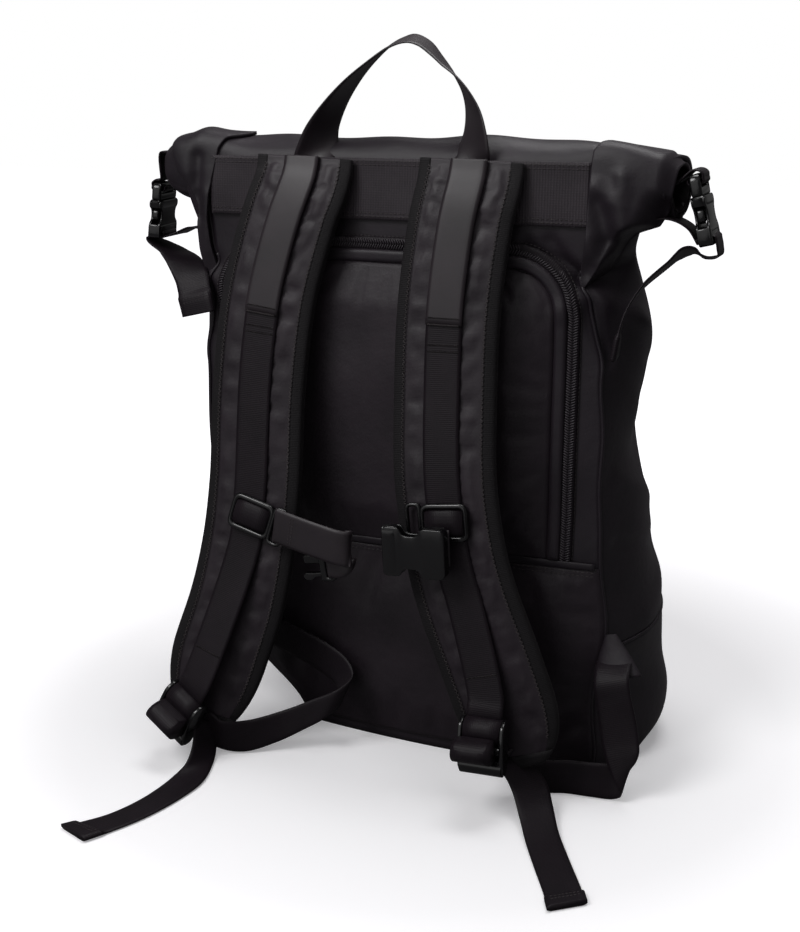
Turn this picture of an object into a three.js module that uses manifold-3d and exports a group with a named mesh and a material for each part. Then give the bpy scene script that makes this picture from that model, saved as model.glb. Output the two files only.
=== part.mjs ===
// Roll-top backpack with a zipped door in its back panel, standing on a floor.
// Millimetres, +Z up. The origin is on the floor at the middle of the base, and the back panel,
// which lies against the wearer, faces -Y.

import * as THREE from 'three';
import { mergeVertices } from 'three/addons/utils/BufferGeometryUtils.js';
import Module from 'manifold-3d';

const wasm = await Module();
wasm.setup();

// Driving dimensions
const gap = 0.3;
const cloth = 1.6;
const backLift = 0.8;
const webbing = { width: 25, thickness: 1.6, hemThickness: 3.6 };
const mouthHeight = 408;
const baseSeam = { back: 96, front: 112 };
const roll = {
  halfLength: 186, middle: 6, height: 421, radius: 20.5, layer: 3.4, pitch: 4, turns: 1.75,
  droop: { left: 0, right: 8 }, droopStart: 115, wingStart: 147, wingStep: 0.8,
};
const strap = { width: 70, thickness: 11, topThickness: 5, endLength: 34 };
const band = { halfWidth: 136, bottom: 386.5, top: 427, thickness: 1.8 };
const zip = {
  side: 127, top: 367, bottom: 162, corner: 40, tape: 16, tapeThickness: 1, coil: 6, coilThickness: 2,
};
const door = { margin: 9, edge: 1.2, crown: 4.2 };
const lowerPanel = { bottom: 15, top: 156, margin: 4, edge: 1.4, crown: 3 };

// Looks of the solids
const nylon = { color: 0x262325, roughness: 0.62, metalness: 0 };
const padding = { color: 0x2b2729, roughness: 0.58, metalness: 0 };
const ribbedWebbing = { color: 0x221e20, roughness: 0.5, metalness: 0 };
const plastic = { color: 0x17171a, roughness: 0.32, metalness: 0 };

// Seams of the bag from the floor to the mouth: half widths at the back and front seams, where those seams
// lie front to back, and how far the section stands to the right.
const seams = [
  { z: 0, seam: 84, frontSeam: 106, back: -58, front: 52, shift: 25 },
  { z: 18, seam: 102, frontSeam: 126, back: -62, front: 60, shift: 24 },
  { z: 40, seam: 120, frontSeam: 140, back: -63.5, front: 65, shift: 21 },
  { z: 66, seam: 141, frontSeam: 148, back: -64, front: 67, shift: 13 },
  { z: 105, seam: 153, frontSeam: 150, back: -64, front: 68, shift: 8 },
  { z: 165, seam: 150, frontSeam: 146, back: -64, front: 68, shift: 4 },
  { z: 250, seam: 149, frontSeam: 140, back: -64, front: 60, shift: 3 },
  { z: 310, seam: 144, frontSeam: 138, back: -64, front: 42, shift: 3 },
  { z: 350, seam: 141, frontSeam: 138, back: -64.5, front: 16, shift: 3 },
  { z: 372, seam: 142, frontSeam: 140, back: -65, front: -8, shift: 4 },
  { z: 390, seam: 144, frontSeam: 143, back: -65.6, front: -34, shift: 5 },
  { z: 408, seam: 144, frontSeam: 144, back: -66, front: -58, shift: 6 },
];

// How far each wall is crowned outwards between its seams
const crowns = [
  { z: 0, backCrown: 10, sideCrown: 50, frontCrown: 14 },
  { z: 18, backCrown: 7, sideCrown: 48, frontCrown: 14 },
  { z: 40, backCrown: 6, sideCrown: 39, frontCrown: 15 },
  { z: 66, backCrown: 6, sideCrown: 29, frontCrown: 15 },
  { z: 105, backCrown: 6, sideCrown: 25, frontCrown: 15 },
  { z: 165, backCrown: 6, sideCrown: 23, frontCrown: 15 },
  { z: 250, backCrown: 6, sideCrown: 16, frontCrown: 13 },
  { z: 310, backCrown: 6, sideCrown: 27, frontCrown: 10 },
  { z: 350, backCrown: 4, sideCrown: 22, frontCrown: 7 },
  { z: 372, backCrown: 2.5, sideCrown: 20, frontCrown: 5 },
  { z: 390, backCrown: 1, sideCrown: 28, frontCrown: 3 },
  { z: 408, backCrown: 0, sideCrown: 39, frontCrown: 0 },
];

// Soft dents: a centre on the wall, the push at its middle and its reach. Mirrored ones come in pairs.
const dents = [
  { x: 150, y: -40, z: 352, pushX: -3, pushY: 0, reach: 22, mirrored: true },
  { x: 168, y: 10, z: 232, pushX: -7, pushY: 0, reach: 34, mirrored: true },
  { x: 60, y: 60, z: 300, pushX: 0, pushY: -7, reach: 40, mirrored: true },
  { x: 0, y: 78, z: 120, pushX: 0, pushY: 6, reach: 70, mirrored: false },
].flatMap((dent) => (dent.mirrored ? [dent, { ...dent, x: -dent.x, pushX: -dent.pushX }] : [dent]));

// Middle line of each padded strap from the top seam down: place and turn about the vertical.
const strapLines = {
  left: [
    { x: -60, y: -71.5, z: 427, turn: 0 },
    { x: -60.8, y: -74.8, z: 412, turn: 0 },
    { x: -68, y: -81, z: 388, turn: 0 },
    { x: -80, y: -91, z: 335, turn: 0 },
    { x: -85, y: -101, z: 272, turn: 0 },
    { x: -85, y: -111, z: 205, turn: 0 },
    { x: -88, y: -118, z: 160, turn: 2 },
    { x: -95, y: -125, z: 118, turn: 6 },
    { x: -109, y: -133, z: 70, turn: 9 },
    { x: -119, y: -137, z: 27, turn: 10 },
  ],
  right: [
    { x: 60, y: -71.5, z: 427, turn: 0 },
    { x: 59.4, y: -74.8, z: 412, turn: 0 },
    { x: 56, y: -81, z: 388, turn: 0 },
    { x: 52.5, y: -91, z: 335, turn: 0 },
    { x: 54, y: -101, z: 275, turn: 0 },
    { x: 58.5, y: -111, z: 220, turn: 0 },
    { x: 68, y: -116, z: 172, turn: 0 },
    { x: 78, y: -119, z: 142, turn: 2 },
    { x: 95, y: -122, z: 103, turn: 4 },
    { x: 111, y: -123, z: 62, turn: 5 },
    { x: 122, y: -122, z: 30, turn: 6 },
  ],
};

// Ladder locks: place of the top bar, turn about the vertical and lean sideways of their length.
const lockPlaces = {
  left: { x: -121, y: -153, z: 50, turn: 6, lean: -17, tip: 0 },
  right: { x: 99, y: -140, z: 66, turn: 4, lean: 10, tip: 0 },
};

// Adjuster webbing from the side seam to the lock, then from the lock to its hemmed end: place of the middle
// and direction across the webbing.
const adjusterLines = {
  left: {
    side: 1,
    toLock: [
      { x: -154, y: -69.3, z: 92, acrossX: 0, acrossY: 0, acrossZ: 1 },
      { x: -141, y: -71.5, z: 91, acrossX: 0, acrossY: 0, acrossZ: 1 },
      { x: -122, y: -79, z: 87, acrossX: 0.1, acrossY: 0, acrossZ: 1 },
      { x: -80, y: -84, z: 75, acrossX: 0.2, acrossY: -0.1, acrossZ: 1 },
      { x: -45, y: -88, z: 63, acrossX: 0.35, acrossY: -0.15, acrossZ: 0.9 },
      { x: -26, y: -97, z: 49, acrossX: 0.3, acrossY: 0.3, acrossZ: 0.9 },
      { x: -38, y: -106, z: 34, acrossX: 0.35, acrossY: 0.4, acrossZ: 0.85 },
      { x: -66, y: -117, z: 18, acrossX: 0.15, acrossY: 0.25, acrossZ: 0.95 },
      { x: -88, y: -132, z: 13.8, acrossX: 0.1, acrossY: 0.1, acrossZ: 1 },
      { x: -105, y: -150, z: 11.5, acrossX: 0.6, acrossY: -0.35, acrossZ: 0.7 },
      { x: -124, y: -157, z: 14, acrossX: 0.95, acrossY: -0.05, acrossZ: 0.3 },
    ],
    toEnd: [
      { x: -124, y: -164, z: 9, acrossX: 0.98, acrossY: 0.1, acrossZ: 0.1 },
      { x: -114, y: -185, z: 2.4, acrossX: 1, acrossY: 0, acrossZ: 0 },
      { x: -112, y: -212, z: 1.2, acrossX: 1, acrossY: 0, acrossZ: 0 },
      { x: -124, y: -243, z: 1, acrossX: 0.9, acrossY: -0.4, acrossZ: 0 },
      { x: -137, y: -264, z: 1, acrossX: 0.85, acrossY: -0.5, acrossZ: 0 },
      { x: -143, y: -272, z: 1, acrossX: 0.8, acrossY: -0.6, acrossZ: 0 },
    ],
  },
  right: {
    side: -1,
    toLock: [
      { x: 168, y: -69, z: 92.6, acrossX: 1, acrossY: 0, acrossZ: 0.1 },
      { x: 168, y: -80, z: 88, acrossX: 1, acrossY: 0.1, acrossZ: 0.05 },
      { x: 168.5, y: -87, z: 75, acrossX: 1, acrossY: 0, acrossZ: 0 },
      { x: 172, y: -88, z: 56, acrossX: 1, acrossY: 0, acrossZ: 0.05 },
      { x: 179, y: -91, z: 34, acrossX: 0.95, acrossY: -0.15, acrossZ: -0.15 },
      { x: 173, y: -96, z: 16, acrossX: 0.5, acrossY: -0.2, acrossZ: -0.85 },
      { x: 150, y: -104, z: 13.8, acrossX: 0, acrossY: -0.05, acrossZ: -1 },
      { x: 124, y: -131, z: 13.8, acrossX: -0.2, acrossY: -0.1, acrossZ: -1 },
      { x: 110, y: -138, z: 22, acrossX: -0.8, acrossY: 0, acrossZ: -0.7 },
    ],
    toEnd: [
      { x: 115, y: -149, z: 27, acrossX: -1, acrossY: -0.1, acrossZ: 0 },
      { x: 131, y: -158, z: 15, acrossX: -0.9, acrossY: -0.4, acrossZ: 0 },
      { x: 147, y: -175, z: 6, acrossX: -0.8, acrossY: -0.6, acrossZ: 0 },
      { x: 163, y: -200, z: 1.6, acrossX: -0.8, acrossY: -0.6, acrossZ: 0 },
      { x: 174, y: -217, z: 1.2, acrossX: -0.8, acrossY: -0.55, acrossZ: 0 },
      { x: 181, y: -228, z: 1.2, acrossX: -0.8, acrossY: -0.55, acrossZ: 0 },
    ],
  },
};

// Anchor tabs: cloth wings in the side seams that hold the lower ends of the adjuster webbing
const anchorTab = { width: 28, tipWidth: 15, thickness: 2.4 };
const anchorLines = {
  left: [
    { x: -142, y: -66, z: 99, acrossX: 0, acrossY: 0, acrossZ: 1 },
    { x: -149, y: -66.5, z: 97, acrossX: 0, acrossY: 0, acrossZ: 1 },
    { x: -157, y: -67, z: 94, acrossX: 0.2, acrossY: 0, acrossZ: 1 },
  ],
  right: [
    { x: 161, y: -66, z: 99, acrossX: 0, acrossY: 0, acrossZ: 1 },
    { x: 175, y: -67, z: 96, acrossX: 0, acrossY: 0, acrossZ: 1 },
    { x: 189, y: -69, z: 91, acrossX: -0.2, acrossY: 0, acrossZ: 1 },
  ],
};

// Grab handle: both ends lie flat in the top seam and the arch turns its face upwards.
const handleLine = [
  { x: -56, y: -66.7, z: 429.4, acrossX: 1, acrossY: 0, acrossZ: 0 },
  { x: -54, y: -66, z: 440, acrossX: 1, acrossY: 0.2, acrossZ: -0.1 },
  { x: -31, y: -60, z: 467, acrossX: 0.55, acrossY: 0.75, acrossZ: -0.3 },
  { x: -11, y: -53, z: 492, acrossX: 0.2, acrossY: 0.9, acrossZ: -0.1 },
  { x: 8, y: -49, z: 504, acrossX: 0, acrossY: 1, acrossZ: 0.25 },
  { x: 35, y: -52, z: 489, acrossX: -0.3, acrossY: 0.95, acrossZ: 0 },
  { x: 53, y: -59, z: 462, acrossX: -0.6, acrossY: 0.8, acrossZ: -0.15 },
  { x: 57, y: -66, z: 440, acrossX: -0.95, acrossY: 0.3, acrossZ: 0 },
  { x: 57, y: -66.7, z: 429.4, acrossX: -1, acrossY: 0, acrossZ: 0 },
];

// Side-release buckles: outline sizes, and the middle of each joint between the two halves
const buckle = {
  halfWidth: 17, waist: 13.2, thickness: 9, femaleLength: 27, femaleSlot: -22.2,
  cavityHalf: 14.5, cavityDepth: 17.5, cavityHeight: 5.2, slot: 3.4,
  maleLength: 13, maleThickness: 7, maleSlot: 7.5, tongue: 15.5, tongueHeight: 4.2,
};
const sideBuckles = {
  left: { x: -189.5, y: -48, z: 391, turn: -90, lean: 0, tip: 8 },
  right: { x: 205.5, y: -45, z: 404, turn: 90, lean: 0, tip: -13 },
};
const sternumBuckles = {
  female: { x: 27, y: -139, z: 178, turn: 0, lean: 93, tip: 0 },
  male: { x: -36, y: -121, z: 150, turn: -4, lean: -80, tip: 0 },
};

// Side webbing: from the neck of the bag to its buckle, then the free tail with its hem.
const sideLines = {
  left: {
    fromNeck: [
      { x: -158.6, y: -40, z: 372, acrossX: 0, acrossY: 1, acrossZ: 0 },
      { x: -168, y: -43, z: 368, acrossX: 0, acrossY: 1, acrossZ: 0 },
      { x: -175, y: -47, z: 363, acrossX: 0, acrossY: 1, acrossZ: 0 },
    ],
    tail: [
      { x: -181, y: -53, z: 355, acrossX: 0.3, acrossY: 0.95, acrossZ: 0 },
      { x: -166, y: -62, z: 349, acrossX: 0.7, acrossY: 0.7, acrossZ: 0.1 },
      { x: -153, y: -71, z: 339, acrossX: 0.95, acrossY: 0.3, acrossZ: 0.3 },
      { x: -146.5, y: -78, z: 326, acrossX: 1, acrossY: 0.05, acrossZ: 0.2 },
      { x: -144.5, y: -79, z: 315, acrossX: 1, acrossY: 0, acrossZ: 0.1 },
    ],
  },
  right: {
    fromNeck: [
      { x: 166.6, y: -40, z: 371, acrossX: 0, acrossY: 1, acrossZ: 0 },
      { x: 175, y: -42, z: 377, acrossX: 0, acrossY: 1, acrossZ: 0 },
      { x: 187, y: -44, z: 380, acrossX: 0, acrossY: 1, acrossZ: 0 },
      { x: 201, y: -45, z: 376, acrossX: 0, acrossY: 1, acrossZ: 0 },
    ],
    tail: [
      { x: 213, y: -46, z: 365, acrossX: 0, acrossY: 1, acrossZ: 0 },
      { x: 200, y: -50, z: 364, acrossX: -0.15, acrossY: 1, acrossZ: 0.1 },
      { x: 184, y: -58, z: 356, acrossX: -0.3, acrossY: 1, acrossZ: 0.1 },
      { x: 172, y: -67, z: 340, acrossX: -0.3, acrossY: 1, acrossZ: 0.1 },
      { x: 165.5, y: -72, z: 321, acrossX: -0.3, acrossY: 1, acrossZ: 0 },
      { x: 163.5, y: -73, z: 309, acrossX: -0.3, acrossY: 1, acrossZ: 0 },
    ],
  },
};

// Chest strap: the folded webbing on the left, from its slider to the male half
const sternumLine = [
  { x: -66, y: -131.4, z: 180, acrossX: 0.1, acrossY: 0, acrossZ: 1 },
  { x: -50, y: -133.5, z: 178, acrossX: 0.15, acrossY: 0, acrossZ: 1 },
  { x: -30, y: -135, z: 172, acrossX: 0.25, acrossY: 0, acrossZ: 1 },
  { x: -14, y: -133, z: 166, acrossX: 0.3, acrossY: 0, acrossZ: 1 },
  { x: -6, y: -127.6, z: 161, acrossX: 0.3, acrossY: 0.1, acrossZ: 1 },
  { x: -9, y: -123.5, z: 157, acrossX: 0.2, acrossY: 0.1, acrossZ: 1 },
];
const slider = {
  halfWidth: 17.5, halfHeight: 12.5, bar: 3.6, thickness: 3.2, hookWidth: 11, hookHalfHeight: 9,
  places: { left: 179, right: 193 }, hookSide: { left: 1, right: -1 },
};

const group = new THREE.Group();

// Builds a closed solid from points and triangles, with its faces pointing out.
function closedGeometry(points, triangles) {
  const volume = triangles.reduce((sum, [a, b, c]) => {
    return sum + points[a].dot(points[b].clone().cross(points[c]));
  }, 0);
  const order = volume < 0 ? ([a, b, c]) => [a, c, b] : (triangle) => triangle;
  const geometry = new THREE.BufferGeometry();
  geometry.setAttribute('position', new THREE.Float32BufferAttribute(points.flatMap((p) => p.toArray()), 3));
  geometry.setIndex(triangles.flatMap(order));
  return geometry;
}

// Sheet with two faces: face(u, v, side) gives a point, side 0 on the outer face and 1 on the inner one.
function sheet(columns, rows, face) {
  const points = [];
  const triangles = [];
  const index = (i, j, side) => side * (columns + 1) * (rows + 1) + j * (columns + 1) + i;
  const quad = (a, b, c, d) => triangles.push([a, b, c], [a, c, d]);
  for (const side of [0, 1]) {
    for (let j = 0; j <= rows; j += 1) {
      for (let i = 0; i <= columns; i += 1) points.push(face(i / columns, j / rows, side));
    }
  }
  for (let j = 0; j < rows; j += 1) {
    for (let i = 0; i < columns; i += 1) {
      quad(index(i, j, 0), index(i + 1, j, 0), index(i + 1, j + 1, 0), index(i, j + 1, 0));
      quad(index(i, j, 1), index(i, j + 1, 1), index(i + 1, j + 1, 1), index(i + 1, j, 1));
    }
    quad(index(0, j, 1), index(0, j, 0), index(0, j + 1, 0), index(0, j + 1, 1));
    quad(index(columns, j, 0), index(columns, j, 1), index(columns, j + 1, 1), index(columns, j + 1, 0));
  }
  for (let i = 0; i < columns; i += 1) {
    quad(index(i, 0, 0), index(i, 0, 1), index(i + 1, 0, 1), index(i + 1, 0, 0));
    quad(index(i, rows, 1), index(i, rows, 0), index(i + 1, rows, 0), index(i + 1, rows, 1));
  }
  return closedGeometry(points, triangles);
}

// Solid through a row of convex rings that have equal numbers of points.
function loft(rings) {
  const sides = rings[0].length;
  const points = rings.flat();
  const triangles = [];
  for (let k = 0; k + 1 < rings.length; k += 1) {
    for (let i = 0; i < sides; i += 1) {
      const a = k * sides + i;
      const b = k * sides + ((i + 1) % sides);
      triangles.push([a, b, b + sides], [a, b + sides, a + sides]);
    }
  }
  const last = (rings.length - 1) * sides;
  for (let i = 1; i + 1 < sides; i += 1) triangles.push([0, i + 1, i], [last, last + i, last + i + 1]);
  return closedGeometry(points, triangles);
}

function solidOf(geometry) {
  const bare = geometry.clone();
  bare.deleteAttribute('normal');
  bare.deleteAttribute('uv');
  const merged = mergeVertices(bare, 1e-4);
  return new wasm.Manifold(new wasm.Mesh({
    numProp: 3,
    vertProperties: Float32Array.from(merged.attributes.position.array),
    triVerts: Uint32Array.from(merged.index.array),
  }));
}

function geometryOf(solid) {
  const { vertProperties, triVerts } = solid.getMesh();
  const geometry = new THREE.BufferGeometry();
  geometry.setAttribute('position', new THREE.BufferAttribute(Float32Array.from(vertProperties), 3));
  geometry.setIndex(new THREE.BufferAttribute(Uint32Array.from(triVerts), 1));
  return geometry;
}

function joined(geometries) {
  return geometries.map(solidOf).reduce((sum, solid) => sum.add(solid));
}

function block(width, length, height, x, y, z) {
  return new THREE.BoxGeometry(width, length, height).translate(x, y, z);
}

function addPiece(name, geometry, look, frame = new THREE.Matrix4()) {
  const mesh = new THREE.Mesh(geometry, new THREE.MeshStandardMaterial(look));
  mesh.name = name;
  mesh.applyMatrix4(frame);
  group.add(mesh);
}

// Smooth curve through a table: gives every column's value at any value of the key column.
function smoothTable(rows, key) {
  const columns = Object.keys(rows[0]).filter((name) => name !== key);
  const values = rows.flatMap((row) => columns.map((name) => row[name]));
  const curve = new THREE.CubicInterpolant(rows.map((row) => row[key]), values, columns.length);
  return (value) => {
    const result = curve.evaluate(value);
    return Object.fromEntries(columns.map((name, i) => [name, result[i]]));
  };
}

const seamsAt = smoothTable(seams, 'z');
const crownsAt = smoothTable(crowns, 'z');
const sectionAt = (z) => ({ ...seamsAt(z), ...crownsAt(z) });
const crownOf = (t) => 1 - (2 * t - 1) ** 2;
const smooth = (value, start, end) => THREE.MathUtils.smoothstep(value, start, end);

// How far the ends of the flattened neck and of the roll hang below its middle.
function droopAt(x) {
  const past = Math.max(0, Math.abs(x - roll.middle) - roll.droopStart) / (roll.halfLength - roll.droopStart);
  return (x < 0 ? roll.droop.left : roll.droop.right) * past ** 2;
}

function dented(point) {
  const result = point.clone();
  for (const dent of dents) {
    const distance = point.distanceTo(new THREE.Vector3(dent.x, dent.y, dent.z));
    const share = Math.exp(-((distance / dent.reach) ** 2));
    result.x += dent.pushX * share;
    result.y += dent.pushY * share;
  }
  return result;
}

// Point on a wall of the bag: t runs from 0 to 1 across it, going round from the left back seam.
function wallPoint(panel, t, z, inset = 0) {
  const row = sectionAt(z);
  const seam = row.seam - inset;
  const frontSeam = row.frontSeam - inset;
  const back = row.back + inset;
  const front = row.front - inset;
  const foldInset = inset * Math.max(1, row.sideCrown / (row.front - row.back));
  const sideCrown = row.sideCrown + inset - foldInset;
  const { lerp } = THREE.MathUtils;
  const places = {
    back: () => [lerp(-seam, seam, t), back - row.backCrown * crownOf(t)],
    right: () => [lerp(seam, frontSeam, t) + sideCrown * crownOf(t), lerp(back, front, t)],
    front: () => [lerp(frontSeam, -frontSeam, t), front + row.frontCrown * crownOf(t)],
    left: () => [-lerp(frontSeam, seam, t) - sideCrown * crownOf(t), lerp(front, back, t)],
  };
  const [x, y] = places[panel]();
  const point = dented(new THREE.Vector3(x + row.shift, y, z));
  point.z -= droopAt(point.x) * smooth(z, 330, mouthHeight);
  return point;
}

// Point on the outside of the back wall at a given x and z, lifted outwards.
function backFace(x, z, lift) {
  const row = sectionAt(Math.min(z, mouthHeight));
  const t = (x - row.shift + row.seam) / (2 * row.seam);
  const place = new THREE.Vector3(x, row.back - row.backCrown * crownOf(t), z);
  return dented(place).setX(x).add(new THREE.Vector3(0, -lift, 0));
}

// Walls of the bag. Their rows share heights along each seam and lie closer at the floor and the mouth.
const lowRows = 6;
const highRows = 13;
const floorBias = 1.7;
const mouthBias = 1.4;
const seamHeight = { back: () => baseSeam.back, front: () => baseSeam.front };
seamHeight.right = (t) => THREE.MathUtils.lerp(baseSeam.back, baseSeam.front, t);
seamHeight.left = (t) => seamHeight.right(1 - t);
const lowHeight = (panel, t, v) => seamHeight[panel](t) * v ** floorBias;
const highHeight = (panel, t, v) => {
  return THREE.MathUtils.lerp(seamHeight[panel](t), mouthHeight, 1 - (1 - v) ** mouthBias);
};
const wallTrim = { back: gap / 600, right: gap / 260, front: gap / 600, left: gap / 260 };
const trimmed = (panel, u) => THREE.MathUtils.lerp(wallTrim[panel], 1 - wallTrim[panel], u);

function highWall(panel, columns) {
  return sheet(columns, highRows, (u, v, side) => {
    const t = trimmed(panel, u);
    return wallPoint(panel, t, highHeight(panel, t, v) + (v === 0 ? gap : 0), side * cloth);
  });
}

function backWall(columns) {
  const rows = lowRows + highRows;
  return sheet(columns, rows, (u, v, side) => {
    const row = Math.round(v * rows);
    const low = row <= lowRows;
    const z = low ? lowHeight('back', u, row / lowRows) : highHeight('back', u, (row - lowRows) / highRows);
    return wallPoint('back', trimmed('back', u), z, side * cloth);
  });
}

addPiece('back_panel', backWall(10), nylon);
addPiece('side_panel_right', highWall('right', 8), nylon);
addPiece('side_panel_left', highWall('left', 8), nylon);
addPiece('front_panel', highWall('front', 8), nylon);

// Base cup: the low wall round the sides and front, and the floor inside it
function baseCup() {
  const panels = ['right', 'front', 'left'];
  const columnsEach = 7;
  const lowWall = sheet(columnsEach * panels.length, lowRows, (u, v, side) => {
    const column = Math.round(u * columnsEach * panels.length);
    const k = Math.min(Math.floor(column / columnsEach), panels.length - 1);
    const share = column / columnsEach - k;
    const atBackSeam = column === 0 || column === columnsEach * panels.length;
    const t = atBackSeam ? trimmed(panels[k], share) : share;
    return wallPoint(panels[k], t, lowHeight(panels[k], t, v), side * cloth);
  });
  const floorEnds = { back: [0, 1], right: [0.06, 1], front: [0, 1], left: [0, 0.94] };
  const floorOutline = ['back', ...panels].flatMap((panel) => {
    const inset = panel === 'back' ? cloth + gap : cloth / 2;
    const last = panel === 'right' || panel === 'front' ? columnsEach : columnsEach - 1;
    return Array.from({ length: columnsEach }, (_, i) => {
      return wallPoint(panel, THREE.MathUtils.lerp(...floorEnds[panel], i / last), 0, inset);
    });
  });
  const floor = loft([0, cloth].map((z) => floorOutline.map((point) => point.clone().setZ(z))));
  return geometryOf(joined([lowWall, floor]));
}

addPiece('base_cup', baseCup(), nylon);

// Roll: a double layer of cloth that rises from the mouth at the back and winds forwards
function rollTop() {
  const middleRadius = roll.radius - roll.layer / 2;
  const start = mouthHeight + 2 * gap;
  const centreY = seams.at(-1).back + roll.radius;
  const sweep = roll.turns * 2 * Math.PI;
  const straight = (roll.height - start) / (roll.height - start + sweep * middleRadius);
  return sheet(14, 27, (u, v, side) => {
    const reach = Math.sign(u - 0.5) * (1 - (1 - Math.abs(2 * u - 1)) ** 1.5);
    const x = roll.middle + roll.halfLength * reach;
    const angle = Math.max(0, (v - straight) / (1 - straight)) * sweep;
    const pastWing = smooth(Math.abs(x), roll.wingStart, roll.wingStart + 12);
    const wing = roll.wingStep * pastWing * smooth(angle, 0, 1.5);
    const radius = middleRadius - (roll.pitch * angle) / (2 * Math.PI) + (0.5 - side) * roll.layer + wing;
    const rise = Math.max(0, 1 - v / straight) * (roll.height - start);
    const z = roll.height - rise + radius * Math.sin(angle) - droopAt(x);
    return new THREE.Vector3(x, centreY - radius * Math.cos(angle), z);
  });
}

addPiece('roll_top', rollTop(), nylon);

// Flat pieces on the outside of the back wall: halfWidthAt(z) bounds them and thicknessAt(u, v) pads them.
function onBack(columns, rows, bottom, top, halfWidthAt, thicknessAt, middleAt = () => 0) {
  return sheet(columns, rows, (u, v, side) => {
    const z = THREE.MathUtils.lerp(bottom, top, v);
    const x = middleAt(z) + THREE.MathUtils.lerp(-halfWidthAt(z), halfWidthAt(z), u);
    return backFace(x, z, side ? backLift : backLift + thicknessAt(u, v));
  });
}

const padCrown = (share) => 1 - (2 * share - 1) ** 4;
const bandSheet = onBack(12, 4, band.bottom, band.top, () => band.halfWidth, () => band.thickness);
addPiece('top_band', bandSheet, ribbedWebbing);

const doorSize = { half: zip.side - door.margin, bottom: zip.bottom - 2, top: zip.top - door.margin };
function doorHalfWidth(z) {
  const corner = zip.corner - door.margin;
  const past = Math.max(0, z - (doorSize.top - corner));
  return doorSize.half - corner + Math.sqrt(Math.max(0, corner ** 2 - past ** 2));
}
addPiece('back_door', onBack(10, 12, doorSize.bottom, doorSize.top, doorHalfWidth, (u, v) => {
  return door.edge + door.crown * padCrown(u) * padCrown(v);
}), padding);

const lowerHalfWidth = (z) => sectionAt(z).seam - lowerPanel.margin - 4;
addPiece('lower_back_panel', onBack(10, 7, lowerPanel.bottom, lowerPanel.top, lowerHalfWidth, (u, v) => {
  return lowerPanel.edge + lowerPanel.crown * padCrown(u) * padCrown(v);
}, (z) => sectionAt(z).shift), padding);

// Ribbons: frames along a table's rows, then a flat section swept through them
function framesAlong(rows, perRow) {
  const middle = new THREE.CatmullRomCurve3(rows.map(({ x, y, z }) => new THREE.Vector3(x, y, z)));
  const across = new THREE.CatmullRomCurve3(rows.map(({ acrossX, acrossY, acrossZ }) => {
    return new THREE.Vector3(acrossX, acrossY, acrossZ);
  }));
  const count = (rows.length - 1) * perRow;
  return Array.from({ length: count + 1 }, (_, k) => {
    const tangent = middle.getTangent(k / count);
    const normal = tangent.clone().cross(across.getPoint(k / count)).normalize();
    return { point: middle.getPoint(k / count), tangent, normal, width: normal.clone().cross(tangent) };
  });
}

function flatRing(frame, width, thickness, lift = 0) {
  return [[-1, -1], [1, -1], [1, 1], [-1, 1]].map(([across, out]) => {
    return frame.point.clone()
      .addScaledVector(frame.width, (across * width) / 2)
      .addScaledVector(frame.normal, lift + (out * thickness) / 2);
  });
}

function ribbon(frames, width, thicknessAt, liftAt = () => 0) {
  return loft(frames.map((frame, k) => {
    const share = k / (frames.length - 1);
    return flatRing(frame, width, thicknessAt(share), liftAt(share));
  }));
}

// Zip round three sides of the door
const zipSteps = 36;
function zipFrames() {
  const path = new THREE.Path();
  path.moveTo(-zip.side, zip.bottom);
  path.lineTo(-zip.side, zip.top - zip.corner);
  path.absarc(-zip.side + zip.corner, zip.top - zip.corner, zip.corner, Math.PI, Math.PI / 2, true);
  path.lineTo(zip.side - zip.corner, zip.top);
  path.absarc(zip.side - zip.corner, zip.top - zip.corner, zip.corner, Math.PI / 2, 0, true);
  path.lineTo(zip.side, zip.bottom);
  const places = path.getSpacedPoints(zipSteps).map(({ x, y }) => backFace(x, y, 0));
  return places.map((point, k) => {
    const tangent = places[Math.min(k + 1, zipSteps)].clone().sub(places[Math.max(k - 1, 0)]).normalize();
    const normal = new THREE.Vector3(0, -1, 0).addScaledVector(tangent, tangent.y).normalize();
    return { point, tangent, normal, width: normal.clone().cross(tangent) };
  });
}

const zipLift = backLift + zip.tapeThickness / 2;
const tapeRibbon = ribbon(zipFrames(), zip.tape, () => zip.tapeThickness, () => zipLift);
addPiece('zip_tape', tapeRibbon, ribbedWebbing);
addPiece('zip_coil', ribbon(zipFrames(), zip.coil, () => zip.coilThickness, () => {
  return zipLift + zip.tapeThickness / 2 + gap + zip.coilThickness / 2;
}), plastic);

// Padded shoulder straps
function strapFrames(side) {
  const rows = strapLines[side].map(({ turn, ...place }) => {
    const angle = THREE.MathUtils.degToRad(turn);
    return { ...place, acrossX: Math.cos(angle), acrossY: Math.sin(angle), acrossZ: 0 };
  });
  return framesAlong(rows, 2);
}

function strapThickness(share) {
  return THREE.MathUtils.lerp(strap.topThickness, strap.thickness, smooth(share, 0, 0.16));
}

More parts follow.
